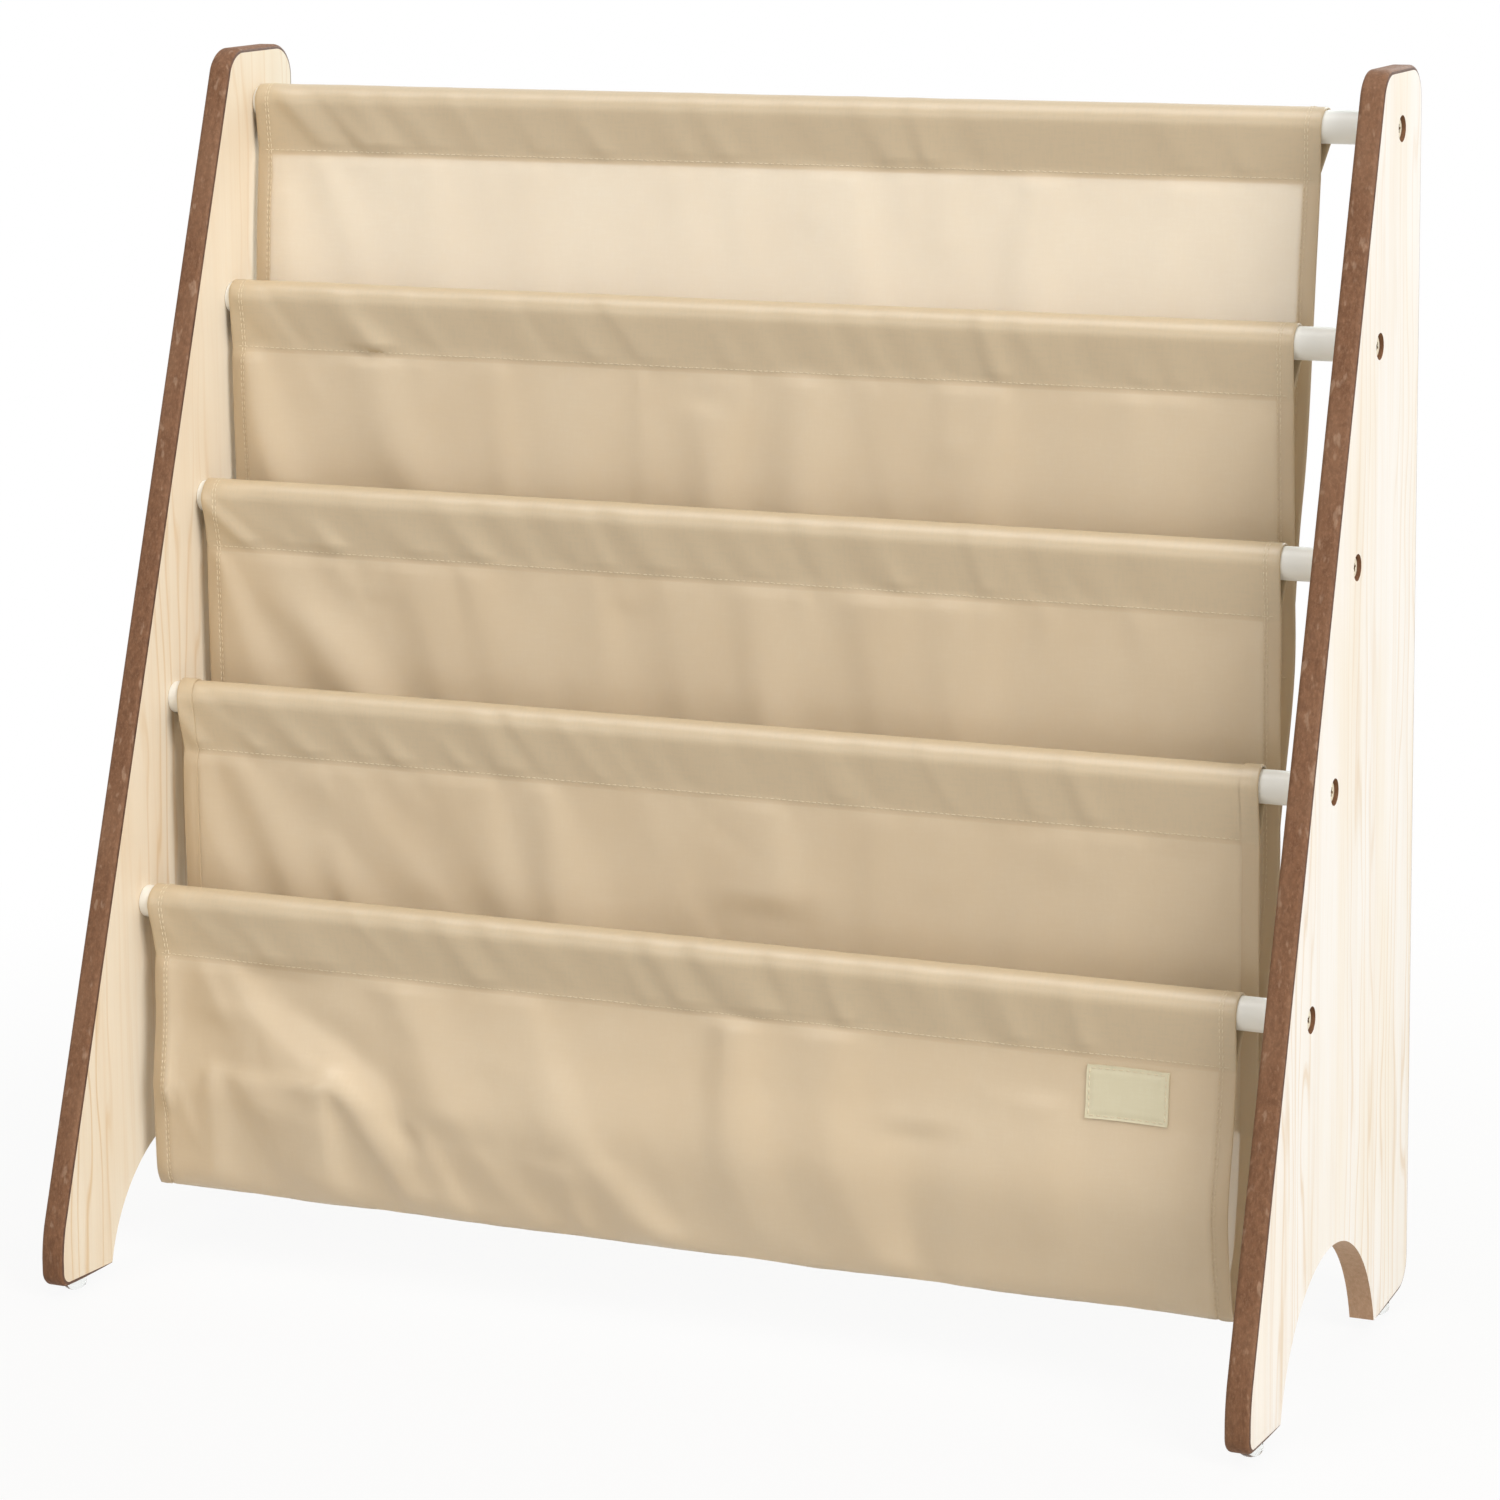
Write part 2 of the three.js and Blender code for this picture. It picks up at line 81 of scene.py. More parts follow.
def put(material, value, socket):  # a node's first output, a named output or a plain value
    if isinstance(value, bpy.types.Node):
        material.node_tree.links.new(value.outputs[0], socket)
    elif isinstance(value, bpy.types.NodeSocket):
        material.node_tree.links.new(value, socket)
    else:
        socket.default_value = value


def objectCoords(material, scale=(1, 1, 1), shift=(0, 0, 0)):
    coords = addNode(material, "TexCoord")
    return addNode(material, "Mapping", Vector=coords.outputs["Object"], Scale=scale, Location=shift)


def noise(material, vector, scale, detail=2.0, roughness=0.5):
    return addNode(material, "TexNoise", Vector=vector, Scale=scale, Detail=detail, Roughness=roughness)


def ramp(material, factor, stops, ease="LINEAR"):
    node = addNode(material, "ValToRGB", Fac=factor)
    node.color_ramp.interpolation = ease
    elements = node.color_ramp.elements
    while len(elements) < len(stops):
        elements.new(0.5)
    for element, (place, color) in zip(elements, stops):
        element.position = place
        element.color = color if hasattr(color, "__len__") else (color, color, color, 1)
    return node


def mixColor(material, factor, a, b):
    node = addNode(material, "Mix", {"data_type": "RGBA", "blend_type": "MIX"})
    put(material, factor, node.inputs[0])
    put(material, a, node.inputs[6])
    put(material, b, node.inputs[7])
    return node.outputs[2]


def maths(material, operation, a, b=0.0, clamp=False):
    node = addNode(material, "Math", {"operation": operation, "use_clamp": clamp})
    put(material, a, node.inputs[0])
    put(material, b, node.inputs[1])
    return node


def times(material, a, b):
    return maths(material, "MULTIPLY", a, b)


def bump(material, height, strength, distance, normal=None):
    node = addNode(material, "Bump", Height=height, Strength=strength, Distance=distance)
    if normal is not None:
        put(material, normal, node.inputs["Normal"])
    return node


def finishMaterial(material, shader):
    output = addNode(material, "OutputMaterial")
    put(material, shader, output.inputs["Surface"])
    return material


def glossy(material, color, relief, **inputs):
    shader = addNode(material, "BsdfPrincipled", Base_Color=color, Normal=relief, **inputs)
    return finishMaterial(material, shader)


def mixShader(material, factor, first, second):
    both = addNode(material, "MixShader", Fac=factor)
    put(material, first, both.inputs[1])
    put(material, second, both.inputs[2])
    return both


def directRays(material):  # 1 where the camera sees a surface, also in a gloss or through the glides
    path = addNode(material, "LightPath")
    either = maths(material, "MAXIMUM", path.outputs["Is Camera Ray"], path.outputs["Is Glossy Ray"])
    return maths(material, "MAXIMUM", either, path.outputs["Is Transmission Ray"])


def waves(material, vector, direction, scale, **inputs):
    kind = {"wave_type": "BANDS", "bands_direction": direction}
    return addNode(material, "TexWave", kind, Vector=vector, Scale=scale, **inputs).outputs["Fac"]


# Materials, from display colours of 0 to 255

colors = {"grainLine": (222, 194, 156), "scuff": (206, 176, 150), "arrisDark": (70, 44, 30),
          "arrisLight": (112, 78, 56), "paint": (252, 252, 247), "paintDirt": (240, 237, 228),
          "plastic": (250, 252, 250), "doubledClothShade": (208, 189, 156), "thread": (222, 204, 172),
          "threadLight": (244, 232, 208), "floor": (208, 203, 194)}


def printedMaple(name, shift, pale, blush, strength):  # grain lines that fade towards the top of the panel
    m = newMaterial(name)
    line = tint(colors["grainLine"])
    flow = objectCoords(m, (1, 1, 0.13), shift)
    fibreFlow = objectCoords(m, (1, 1, 0.02), shift)
    lines = waves(m, flow, "Y", 31.0, Distortion=14.0, Detail=2.0, Detail_Scale=1.2, Detail_Roughness=0.5)
    thin = ramp(m, lines, [(0.0, 0.0), (0.78, 0.04), (0.95, 0.5), (1.0, 1.0)], "EASE")
    height = addNode(m, "SeparateXYZ", Vector=objectCoords(m)).outputs["Z"]
    fainter = addNode(m, "MapRange", Value=height, From_Min=0.12, From_Max=0.5, To_Min=1.0, To_Max=0.45)
    sway = ramp(m, noise(m, flow, 16, 1.5, 0.4), [(0.38, 0.1), (0.62, 1.0)], "EASE")
    drawn = times(m, thin, times(m, sway, fainter))
    fibres = noise(m, fibreFlow, 950, 3.0, 0.6)
    streaks = ramp(m, noise(m, fibreFlow, 140, 3.0, 0.6), [(0.48, 0.0), (0.75, 0.3)])
    broad = noise(m, objectCoords(m, (1, 1, 0.18), shift), 24, 2.0)
    color = mixColor(m, ramp(m, broad, [(0.4, 0.0), (0.7, 0.75)], "EASE"), tint(pale), tint(blush))
    color = mixColor(m, times(m, streaks, fainter), color, line)
    color = mixColor(m, times(m, drawn, strength), color, line)
    color = mixColor(m, ramp(m, fibres, [(0.5, 0.0), (0.8, 0.16)]), color, line)
    return glossy(m, color, bump(m, fibres, 0.12, 0.00012), Roughness=0.46, Specular_IOR_Level=0.35)


def fibreboardEdge(name, brown, deep, worn):
    m = newMaterial(name)
    along = objectCoords(m, (1, 1, 0.4))
    speckle = noise(m, objectCoords(m, (1, 1, 0.45)), 900, 4.0, 0.75)
    streaks = noise(m, along, 480, 4.0, 0.7)
    cloud = noise(m, along, 38, 3.0, 0.55)
    patches = noise(m, objectCoords(m, (1, 1, 0.3), (3, 1, 2)), 240, 2.0)
    scuffs = times(m, ramp(m, patches, [(0.62, 0.0), (0.7, 0.5)]), speckle)
    color = mixColor(m, ramp(m, streaks, [(0.36, 0.0), (0.64, 0.7)]), tint(brown), tint(deep))
    color = mixColor(m, ramp(m, cloud, [(0.45, 0.0), (0.75, 0.25)]), color, tint(worn))
    color = mixColor(m, scuffs, color, tint(colors["scuff"]))
    color = mixColor(m, ramp(m, speckle, [(0.5, 0.0), (0.68, 0.36)]), color, tint(worn))
    relief = bump(m, speckle, 0.35, 0.0004, bump(m, streaks, 0.3, 0.0006))
    return glossy(m, color, relief, Roughness=0.62, Specular_IOR_Level=0.3)


# A dark line along the arris where the printed face meets the rounded rim: painted shade
def paintedShadeArris():
    m = newMaterial("paintedShade arris")
    grain = noise(m, objectCoords(m, (1, 1, 0.3)), 600, 3.0, 0.6)
    color = ramp(m, grain, [(0.3, tint(colors["arrisDark"])), (0.7, tint(colors["arrisLight"]))])
    return glossy(m, color, bump(m, grain, 0.3, 0.0003), Roughness=0.6)


def whitePaint():
    m = newMaterial("white rod paint")
    film = noise(m, objectCoords(m, (0.12, 1, 1)), 260, 3.0, 0.55)
    dirt = noise(m, objectCoords(m), 70, 3.0)
    color = mixColor(m, ramp(m, dirt, [(0.5, 0.0), (0.8, 0.2)]), tint(colors["paint"]), tint(colors["paintDirt"]))
    rough = ramp(m, film, [(0.3, 0.34), (0.7, 0.46)])
    return glossy(m, color, bump(m, film, 0.12, 0.0004), Roughness=rough, Specular_IOR_Level=0.9)


def yellowZinc(name, dull, bright, worn):
    m = newMaterial(name)
    film = noise(m, objectCoords(m), 420, 3.0, 0.6)
    color = ramp(m, film, [(0.3, tint(dull)), (0.5, tint(bright)), (0.72, tint(worn))])
    rough = ramp(m, film, [(0.3, 0.4), (0.7, 0.55)])
    return glossy(m, color, bump(m, film, 0.15, 0.0002), Roughness=rough, Metallic=0.35)


def clearPlastic():
    m = newMaterial("clear glide plastic")
    haze = noise(m, objectCoords(m), 500, 3.0, 0.6)
    rough = ramp(m, haze, [(0.35, 0.05), (0.7, 0.14)])
    return glossy(m, tint(colors["plastic"]), bump(m, haze, 0.1, 0.0002), Roughness=rough, IOR=1.38,
                  Transmission_Weight=0.96)


def wovenCloth(name, warm, deep, threadPitch, through):  # less light comes through where cloth lies double, and its colour is darkened there as painted shade
    m = newMaterial(name)
    deep = tint(deep)
    coords = addNode(m, "UVMap", {"uv_map": "cut"})
    threads = 0.314 / threadPitch
    weave = times(m, waves(m, coords, "X", threads), waves(m, coords, "Y", threads))
    along, across = (addNode(m, "Mapping", Vector=coords, Scale=scale) for scale in ((0.15, 1, 1), (1, 0.15, 1)))
    slub = maths(m, "ADD", noise(m, along, 700, 3.0, 0.6), noise(m, across, 700, 3.0, 0.6))
    layers = addNode(m, "Attribute", {"attribute_name": "layers"}).outputs["Fac"]
    doubled = times(m, layers, 0.85)
    color = mixColor(m, ramp(m, noise(m, coords, 14, 3.0, 0.5), [(0.3, 0.0), (0.7, 0.4)], "EASE"), tint(warm), deep)
    # where the cloth lies double or in a hem its colour goes darker: painted shade
    color = mixColor(m, doubled, color, tint(colors["doubledClothShade"]))
    color = mixColor(m, ramp(m, slub, [(0.9, 0.0), (1.3, 0.18)]), color, deep)
    color = mixColor(m, ramp(m, weave, [(0.0, 0.12), (0.5, 0.0)]), color, deep)
    relief = bump(m, weave, 0.2, 0.0001, bump(m, slub, 0.08, 0.0002))
    face = addNode(m, "BsdfPrincipled", Base_Color=color, Normal=relief, Roughness=0.38, Specular_IOR_Level=0.95,
                   Coat_Weight=0.25, Coat_Roughness=0.4)
    paler = maths(m, "SUBTRACT", 0.92, doubled, True)
    glow = addNode(m, "BsdfTranslucent", Color=mixColor(m, paler, color, (0.95, 0.985, 1, 1)), Normal=relief)
    thinner = maths(m, "SUBTRACT", 1.0, times(m, layers, 0.7))
    return finishMaterial(m, mixShader(m, times(m, thinner, through), face, glow))


def spunThread():
    m = newMaterial("sewing thread")
    twist = noise(m, objectCoords(m), 2600, 2.0)
    color = ramp(m, twist, [(0.35, tint(colors["thread"])), (0.65, tint(colors["threadLight"]))])
    return glossy(m, color, bump(m, twist, 0.3, 0.0001), Roughness=0.55, Sheen_Weight=0.2)


def studioFloor():  # looks white, more so away from the shelf, and still takes its shadow
    m = newMaterial("studio floor")
    surface = addNode(m, "BsdfDiffuse", Color=tint(colors["floor"]))
    white = addNode(m, "Emission", Color=(1, 1, 1, 1), Strength=1.0)
    away = addNode(m, "VectorMath", {"operation": "LENGTH"})
    put(m, addNode(m, "TexCoord").outputs["Object"], away.inputs[0])
    whiter = addNode(m, "MapRange", {"interpolation_type": "SMOOTHSTEP"}, Value=away.outputs["Value"],
                     From_Min=0.35, From_Max=1.0, To_Min=0.92, To_Max=1.0)
    return finishMaterial(m, mixShader(m, times(m, directRays(m), whiter), surface, white))


materials = {
    # One print on both panels: the left copy is darker and warmer with stronger lines as painted shade and bounce
    # light, the right copy is paler with fainter lines as painted light
    "leftFaceShaded": printedMaple("printed maple left, painted shade", (0.3, 0.41, 0.2), (239, 227, 207), (233, 214, 187), 0.85),
    "rightFaceLit": printedMaple("printed maple right, painted light", (0.9, 0.13, 0.7), (248, 243, 237), (245, 234, 217), 0.55),
    "board": fibreboardEdge("fibreboard edge", (130, 91, 64), (99, 65, 42), (168, 130, 101)),
    # The arch cut is the same board, given paler colours as painted light
    "arch": fibreboardEdge("fibreboard arch, painted light", (210, 175, 148), (186, 148, 118), (222, 197, 172)),
    "arris": paintedShadeArris(),
    "rod": whitePaint(),
    "screw": yellowZinc("yellow zinc", (232, 218, 186), (243, 234, 210), (226, 216, 194)),
    # Dark zinc for the inside of the cross recess: painted shade
    "recess": yellowZinc("screw recess painted shade", (104, 80, 54), (124, 98, 70), (92, 70, 48)),
    "glide": clearPlastic(),
    "sling": wovenCloth("cream sling cloth", (239, 218, 186), (229, 203, 165), 0.0005, 0.42),
    "label": wovenCloth("bare label tape", (236, 228, 197), (224, 212, 175), 0.0004, 0.2),
    "thread": spunThread(),
    "floor": studioFloor(),
}
print("materials made")


# Work in edit mode

def deselectAll():
    if bpy.context.object and bpy.context.object.mode != "OBJECT":
        bpy.ops.object.mode_set(mode="OBJECT")
    bpy.ops.object.select_all(action="DESELECT")


def makeActive(thing):
    deselectAll()
    thing.select_set(True)
    bpy.context.view_layer.objects.active = thing


def editing(thing, mode):
    makeActive(thing)
    bpy.ops.object.mode_set(mode="EDIT")
    bpy.ops.mesh.select_mode(type=mode)
    bpy.ops.mesh.select_all(action="DESELECT")


def choose(thing, what, test):  # selects the vertices, edges or faces that pass
    bpy.ops.mesh.select_all(action="DESELECT")
    mesh = bmesh.from_edit_mesh(thing.data)
    for part in getattr(mesh, what):
        if test(part):
            part.select_set(True)
    mesh.select_flush_mode()
    bmesh.update_edit_mesh(thing.data)


def finishEditing():
    bpy.ops.object.mode_set(mode="OBJECT")


def settle(thing):  # puts the place, turn and size into the mesh
    makeActive(thing)
    bpy.ops.object.transform_apply(location=True, rotation=True, scale=True)


def cylinder(name, sides, radius, depth, place, turn=(0, math.pi / 2, 0)):  # along X unless turned otherwise
    deselectAll()
    bpy.ops.mesh.primitive_cylinder_add(vertices=sides, radius=radius, depth=depth, location=place, rotation=turn)
    thing = bpy.context.object
    thing.name = thing.data.name = name
    settle(thing)
    return thing


def roundOff(reach, segments, **more):  # the edges that are selected
    bpy.ops.mesh.bevel(offset=reach, segments=segments, profile=0.5, affect="EDGES", **more)


def extrude(along):  # the faces that are selected, along X
    bpy.ops.mesh.extrude_region_move(TRANSFORM_OT_translate={"value": (along, 0, 0)})


def faceOutward(thing):
    editing(thing, "FACE")
    bpy.ops.mesh.select_all(action="SELECT")
    bpy.ops.mesh.normals_make_consistent(inside=False)
    finishEditing()


def meshPiece(name, points, faces, material):
    mesh = bpy.data.meshes.new(name)
    mesh.from_pydata(points, [], faces)
    mesh.materials.append(materials[material])
    piece = bpy.data.objects.new(name, mesh)
    bpy.context.collection.objects.link(piece)
    return piece


def thicken(thing, thickness):
    solid = thing.modifiers.new("thickness", "SOLIDIFY")
    solid.thickness = thickness
    solid.offset = 0
    applyAll(thing)


def applyAll(thing):
    makeActive(thing)
    for modifier in list(thing.modifiers):
        bpy.ops.object.modifier_apply(modifier=modifier.name)


def cutAway(thing, cutter):
    makeActive(thing)
    modifier = thing.modifiers.new("cut", "BOOLEAN")
    modifier.object = cutter
    modifier.operation = "DIFFERENCE"
    modifier.solver = "EXACT"
    bpy.ops.object.modifier_apply(modifier=modifier.name)
    bpy.data.objects.remove(cutter)


def copyOf(thing, name):
    twin = thing.copy()
    twin.data = thing.data.copy()
    twin.name = twin.data.name = name
    bpy.context.collection.objects.link(twin)
    return twin


def smooth(thing, degrees=35):
    makeActive(thing)
    bpy.ops.object.shade_smooth_by_angle(angle=math.radians(degrees))


def standFor(thing, slot, *nodes):
    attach(thing, "root")
    if nodes:
        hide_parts(*nodes)


# Side panels: a board cut on the slant, its corners rounded, its rim routed, the arch and bores cut

panel = {"lean": 205.4 / 601, "footHeight": 5.9 * mm, "slantFoot": -138.5 * mm, "toeReach": 8 * mm,
         "kneeReach": 9.97 * mm, "topFrontReach": 11.45 * mm, "topRearReach": 17 * mm, "heelReach": 16 * mm,
         "rim": 2.4 * mm, "paintedShade": 0.16, "archRadius": 78.96 * mm, "archCentre": (-6.5 * mm, -13.66 * mm),
         "boreRadius": 6.35 * mm, "boreDepth": 4.5 * mm, "holeRadius": 2.5 * mm}


def slantAt(z):
    return panel["slantFoot"] + panel["lean"] * (z - panel["footHeight"])


def sidePanel(node, side, faceMaterial):
    low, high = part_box(node)
    deselectAll()
    size = [b - a for a, b in zip(low, high)]
    bpy.ops.mesh.primitive_cube_add(size=1, location=centreOf(node), scale=size)
    board = bpy.context.object
    board.name = board.data.name = f"{node}_board"
    settle(board)
    editing(board, "EDGE")
    bpy.ops.mesh.select_all(action="SELECT")
    slope = math.atan(panel["lean"])
    middle = (low[2] + high[2]) / 2
    bpy.ops.mesh.bisect(plane_co=(0, slantAt(middle), middle), plane_no=(0, -math.cos(slope), math.sin(slope)),
                        use_fill=True, clear_outer=True)
    kneeHeight = panel["footHeight"] + (low[1] - panel["slantFoot"]) / panel["lean"]
    corners = [(low[1], low[2], panel["toeReach"]), (low[1], kneeHeight, panel["kneeReach"]),
               (slantAt(high[2]), high[2], panel["topFrontReach"]), (high[1], high[2], panel["topRearReach"]),
               (high[1], low[2], panel["heelReach"])]
    for y, z, reach in corners:
        choose(board, "edges", lambda edge: all(math.hypot(v.co.y - y, v.co.z - z) < 0.2 * mm for v in edge.verts))
        roundOff(reach, 14, offset_type="OFFSET")
    bpy.ops.mesh.select_all(action="SELECT")
    bpy.ops.mesh.remove_doubles(threshold=0.01 * mm)
    faces = (low[0], high[0])
    choose(board, "edges", lambda edge: any(all(abs(v.co.x - x) < 1e-6 for v in edge.verts) for x in faces)
           and len(edge.link_faces) == 2 and not all(v.co.z < low[2] + 1e-6 for v in edge.verts))
    roundOff(panel["rim"], 6, offset_type="OFFSET")
    faceOutward(board)

    archY, archZ = panel["archCentre"]
    cutAway(board, cylinder("arch", 160, panel["archRadius"], 4 * size[0], (centreOf(node)[0], archY, archZ)))
    outer = high[0] if side > 0 else low[0]
    for y, z in rodCentres:
        cutAway(board, steppedBore(outer, side, y, z, size[0]))

    for material in (faceMaterial, "board", "arris", "arch"):
        board.data.materials.append(materials[material])
    for face in board.data.polygons:
        along = abs(face.normal.x)
        depth = min(abs(face.center.x - x) for x in faces)
        fromArch = math.hypot(face.center.y - archY, face.center.z - archZ)
        if along > 0.9999 and depth < 1e-5:
            face.material_index = 0
        # the sliver of rim next to the face takes the dark arris colour, painted shade
        elif along > 0.75 and depth < panel["rim"] * panel["paintedShade"]:
            face.material_index = 2
        else:
            # faces of the arch cut take the paler copy of the board, painted light
            face.material_index = 3 if abs(fromArch - panel["archRadius"]) < 0.3 * mm and along < 0.1 else 1
    smooth(board, 32)
    standFor(board, "panel_board", node)


def steppedBore(outer, side, y, z, thickness):  # a counterbore with the screw's hole in its floor
    over = 2 * mm
    middle = outer - side * (panel["boreDepth"] - over) / 2
    bore = cylinder("bore", 48, panel["boreRadius"], panel["boreDepth"] + over, (middle, y, z))
    editing(bore, "FACE")
    choose(bore, "faces", lambda face: face.normal.x * side < -0.9)
    bpy.ops.mesh.inset(thickness=panel["boreRadius"] - panel["holeRadius"])
    extrude(-side * thickness)
    finishEditing()
    return bore


sidePanel("left_side_panel", -1, "leftFaceShaded")
sidePanel("right_side_panel", 1, "rightFaceLit")
print("side panels made")


# Rods: turned dowels with a softened rim and a pilot hole in each end

dowel = {"radius": 8 * mm, "rim": 0.7 * mm, "pilotRadius": 2.5 * mm, "pilotDepth": 33.5 * mm, "sides": 72}


def firstRod():
    low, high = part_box("rod_1")
    y, z = rodCentres[0]
    rod = cylinder("rod_1_dowel", dowel["sides"], dowel["radius"], high[0] - low[0], (0, y, z))
    editing(rod, "FACE")
    for side in (-1, 1):
        choose(rod, "faces", lambda face: face.normal.x * side > 0.9)
        bpy.ops.mesh.inset(thickness=dowel["radius"] - dowel["pilotRadius"])
        extrude(-side * dowel["pilotDepth"])
    bpy.ops.mesh.select_mode(type="EDGE")

    def onOuterRim(point):
        return abs(abs(point.x) - high[0]) < 1e-6 and math.hypot(point.y - y, point.z - z) > 0.9 * dowel["radius"]

    choose(rod, "edges", lambda edge: all(onOuterRim(v.co) for v in edge.verts))
    roundOff(dowel["rim"], 3)
    finishEditing()
    rod.data.materials.append(materials["rod"])
    smooth(rod)
    return rod


rodOne = firstRod()
for number, (y, z) in enumerate(rodCentres[1:], 2):
    rodCopy = copyOf(rodOne, f"rod_{number}_dowel")
    rodCopy.data.transform(Matrix.Translation((0, y - rodCentres[0][0], z - rodCentres[0][1])))
    standFor(rodCopy, "rod_paint", f"rod_{number}")
standFor(rodOne, "rod_paint", "rod_1")
print("rods made")


# Screws: a pan head with a cross recess on a pointed shank

panHead = {"radius": 5.8 * mm, "height": 3 * mm, "crown": 1.9 * mm, "shankRadius": 2.2 * mm, "shank": 33 * mm,
           "point": 5 * mm, "pointEnd": 0.08, "slotLength": 6 * mm, "slotWidth": 1.3 * mm, "slotDepth": 1.9 * mm,
           "slotTaper": (1, 0.45, 0.7), "sides": 48, "seat": 307 * mm}


def firstScrew():  # made along X with its seat at x = 0 and its head towards +X
    top = panHead["height"]
    depth = panHead["slotDepth"]
    screw = cylinder("screw", panHead["sides"], panHead["radius"], top, (top / 2, 0, 0))
    editing(screw, "FACE")
    choose(screw, "faces", lambda face: face.normal.x < -0.9)
    bpy.ops.mesh.inset(thickness=panHead["radius"] - panHead["shankRadius"])
    extrude(-panHead["shank"])
    extrude(-panHead["point"])
    tip = (-panHead["shank"] - panHead["point"], 0, 0)
    bpy.ops.transform.resize(value=(1, panHead["pointEnd"], panHead["pointEnd"]), center_override=tip)
    bpy.ops.mesh.select_mode(type="EDGE")
    choose(screw, "edges", lambda edge: all(abs(v.co.x - top) < 1e-6 for v in edge.verts))
    roundOff(panHead["crown"], 7)
    finishEditing()
    for turn in (0, math.pi / 2):
        deselectAll()
        bpy.ops.mesh.primitive_cube_add(size=1, location=(top, 0, 0),
                                        scale=(2 * depth, panHead["slotLength"], panHead["slotWidth"]))
        slot = bpy.context.object
        settle(slot)
        editing(slot, "FACE")
        choose(slot, "faces", lambda face: face.normal.x < -0.9)
        bpy.ops.transform.resize(value=panHead["slotTaper"], center_override=(top - depth, 0, 0))
        finishEditing()
        slot.data.transform(Matrix.Rotation(turn, 4, "X"))
        cutAway(screw, slot)
    screw.data.materials.append(materials["screw"])
    screw.data.materials.append(materials["recess"])
    # faces sunk in the cross recess take the dark zinc, painted shade
    for face in screw.data.polygons:
        sunk = 0.5 * mm < face.center.x < top - 0.02 * mm
        nearAxis = math.hypot(face.center.y, face.center.z) < panHead["slotLength"] * 0.56
        face.material_index = 1 if sunk and nearAxis else 0
    smooth(screw, 40)
    return screw


screwOne = firstScrew()
for side, word in ((-1, "left"), (1, "right")):
    for number, (y, z) in enumerate(rodCentres, 1):
        screwCopy = copyOf(screwOne, f"{word}_screw_{number}_pan_head")
        place = Matrix.Translation((side * panHead["seat"], y, z))
        facing = Matrix.Rotation(0 if side > 0 else math.pi, 4, "Z")
        screwCopy.data.transform(place @ facing @ Matrix.Rotation(0.35 + 0.9 * number + side * 0.4, 4, "X"))
        standFor(screwCopy, "screw_zinc", f"{word}_screw_{number}")
bpy.data.objects.remove(screwOne)
print("screws made")


# Glides: clear domes under the feet

dome = {"radius": 5.8 * mm, "height": 5.9 * mm, "tip": 2.2 * mm, "rim": 0.35 * mm, "sides": 40}


def glidePiece(node):
    low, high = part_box(node)
    glide = cylinder(f"{node}_dome", dome["sides"], dome["radius"], dome["height"], centreOf(node), (0, 0, 0))
    editing(glide, "EDGE")
    choose(glide, "edges", lambda edge: all(abs(v.co.z - low[2]) < 1e-6 for v in edge.verts))
    roundOff(dome["radius"] - dome["tip"], 9)
    choose(glide, "edges", lambda edge: all(abs(v.co.z - high[2]) < 1e-6 for v in edge.verts)
           and len(edge.link_faces) == 2)
    roundOff(dome["rim"], 2)
    finishEditing()
    glide.data.materials.append(materials["glide"])
    smooth(glide, 50)
    standFor(glide, "glide_plastic", node)


for word in ("left", "right"):
    for end in ("front", "rear"):
        glidePiece(f"{word}_{end}_glide")
print("glides made")


# The sling: each cloth is one sheet, cut flat, with its side hems turned and its casing sewn round a rod.
# All of this is worked out in millimetres, y and z on the object, and made metres when the mesh is built.

cloth = {"thick": 0.6, "rodReach": 9.1, "stitchDrop": 24.3, "wallSetback": 7, "pocketDrop": 152.7, "allowance": 11,
         "flapGap": 0.8, "flapAtHem": 2.3, "flapBelow": 2.2, "footGap": 0.85, "footAtHem": 1.65, "topLean": 13,
         "belly": 0.6, "hemTurn": 8.3, "hemGap": 0.75, "hemRelief": [(3.4, 2.2, 0.22), (7.3, 0.9, -0.42)],
         "rowStep": 2.9, "rodStep": 1.6, "flapStep": 1.1, "columnStep": 2.7, "plainWidth": 548,
         "nearEdge": [0, 0.45, 1.4, 2.9, 4.4, 5.9, 7.2, 8.6, 10.2, 12]}

# The front pocket: its turn in shares of its width and height, its face in a bulge and a share of its height
frontPocket = {"floor": 39.6, "turn": [(0.14, 0.5), (0.36, 0.2), (0.94, 0)],
               "face": [(3.4, 0.03), (6.4, 0.13), (12, 0.44), (4.2, 0.76)],
               "leftPull": 6.2, "leftReach": 110, "pullTop": 60, "pullFoot": 122, "pullFade": 50}

# Where the side edges hang, at each marked row of the cloth
sideEdges = [
    {"left": {"flap": -296, "rear": -298.2, "stitch": -296.6, "foot": -295},
     "right": {"flap": 272.6, "rear": 275.9, "stitch": 274, "foot": 271}},
    {"left": {"flap": -295, "rear": -298.2, "stitch": -295.6, "foot": -295.8},
     "right": {"flap": 271.2, "rear": 272.5, "stitch": 272, "foot": 274.8}},
    {"left": {"flap": -293.4, "rear": -297.8, "stitch": -294, "foot": -294},
     "right": {"flap": 276, "rear": 276.2, "stitch": 277, "foot": 277}},
    {"left": {"flap": -289.6, "rear": -297.6, "stitch": -290.3, "frontStitch": -290.6, "frontRod": -293.4,
              "frontRear": -293.4, "frontFlap": -290},
     "right": {"flap": 277.4, "rear": 276.4, "stitch": 278.2, "frontStitch": 278.2, "frontRod": 278.3,
               "frontRear": 278.3, "frontFlap": 277.4}},
]

rods = [(y / mm, z / mm) for y, z in rodCentres]


def ease(value):
    value = np.clip(value, 0, 1)
    return value * value * (3 - 2 * value)


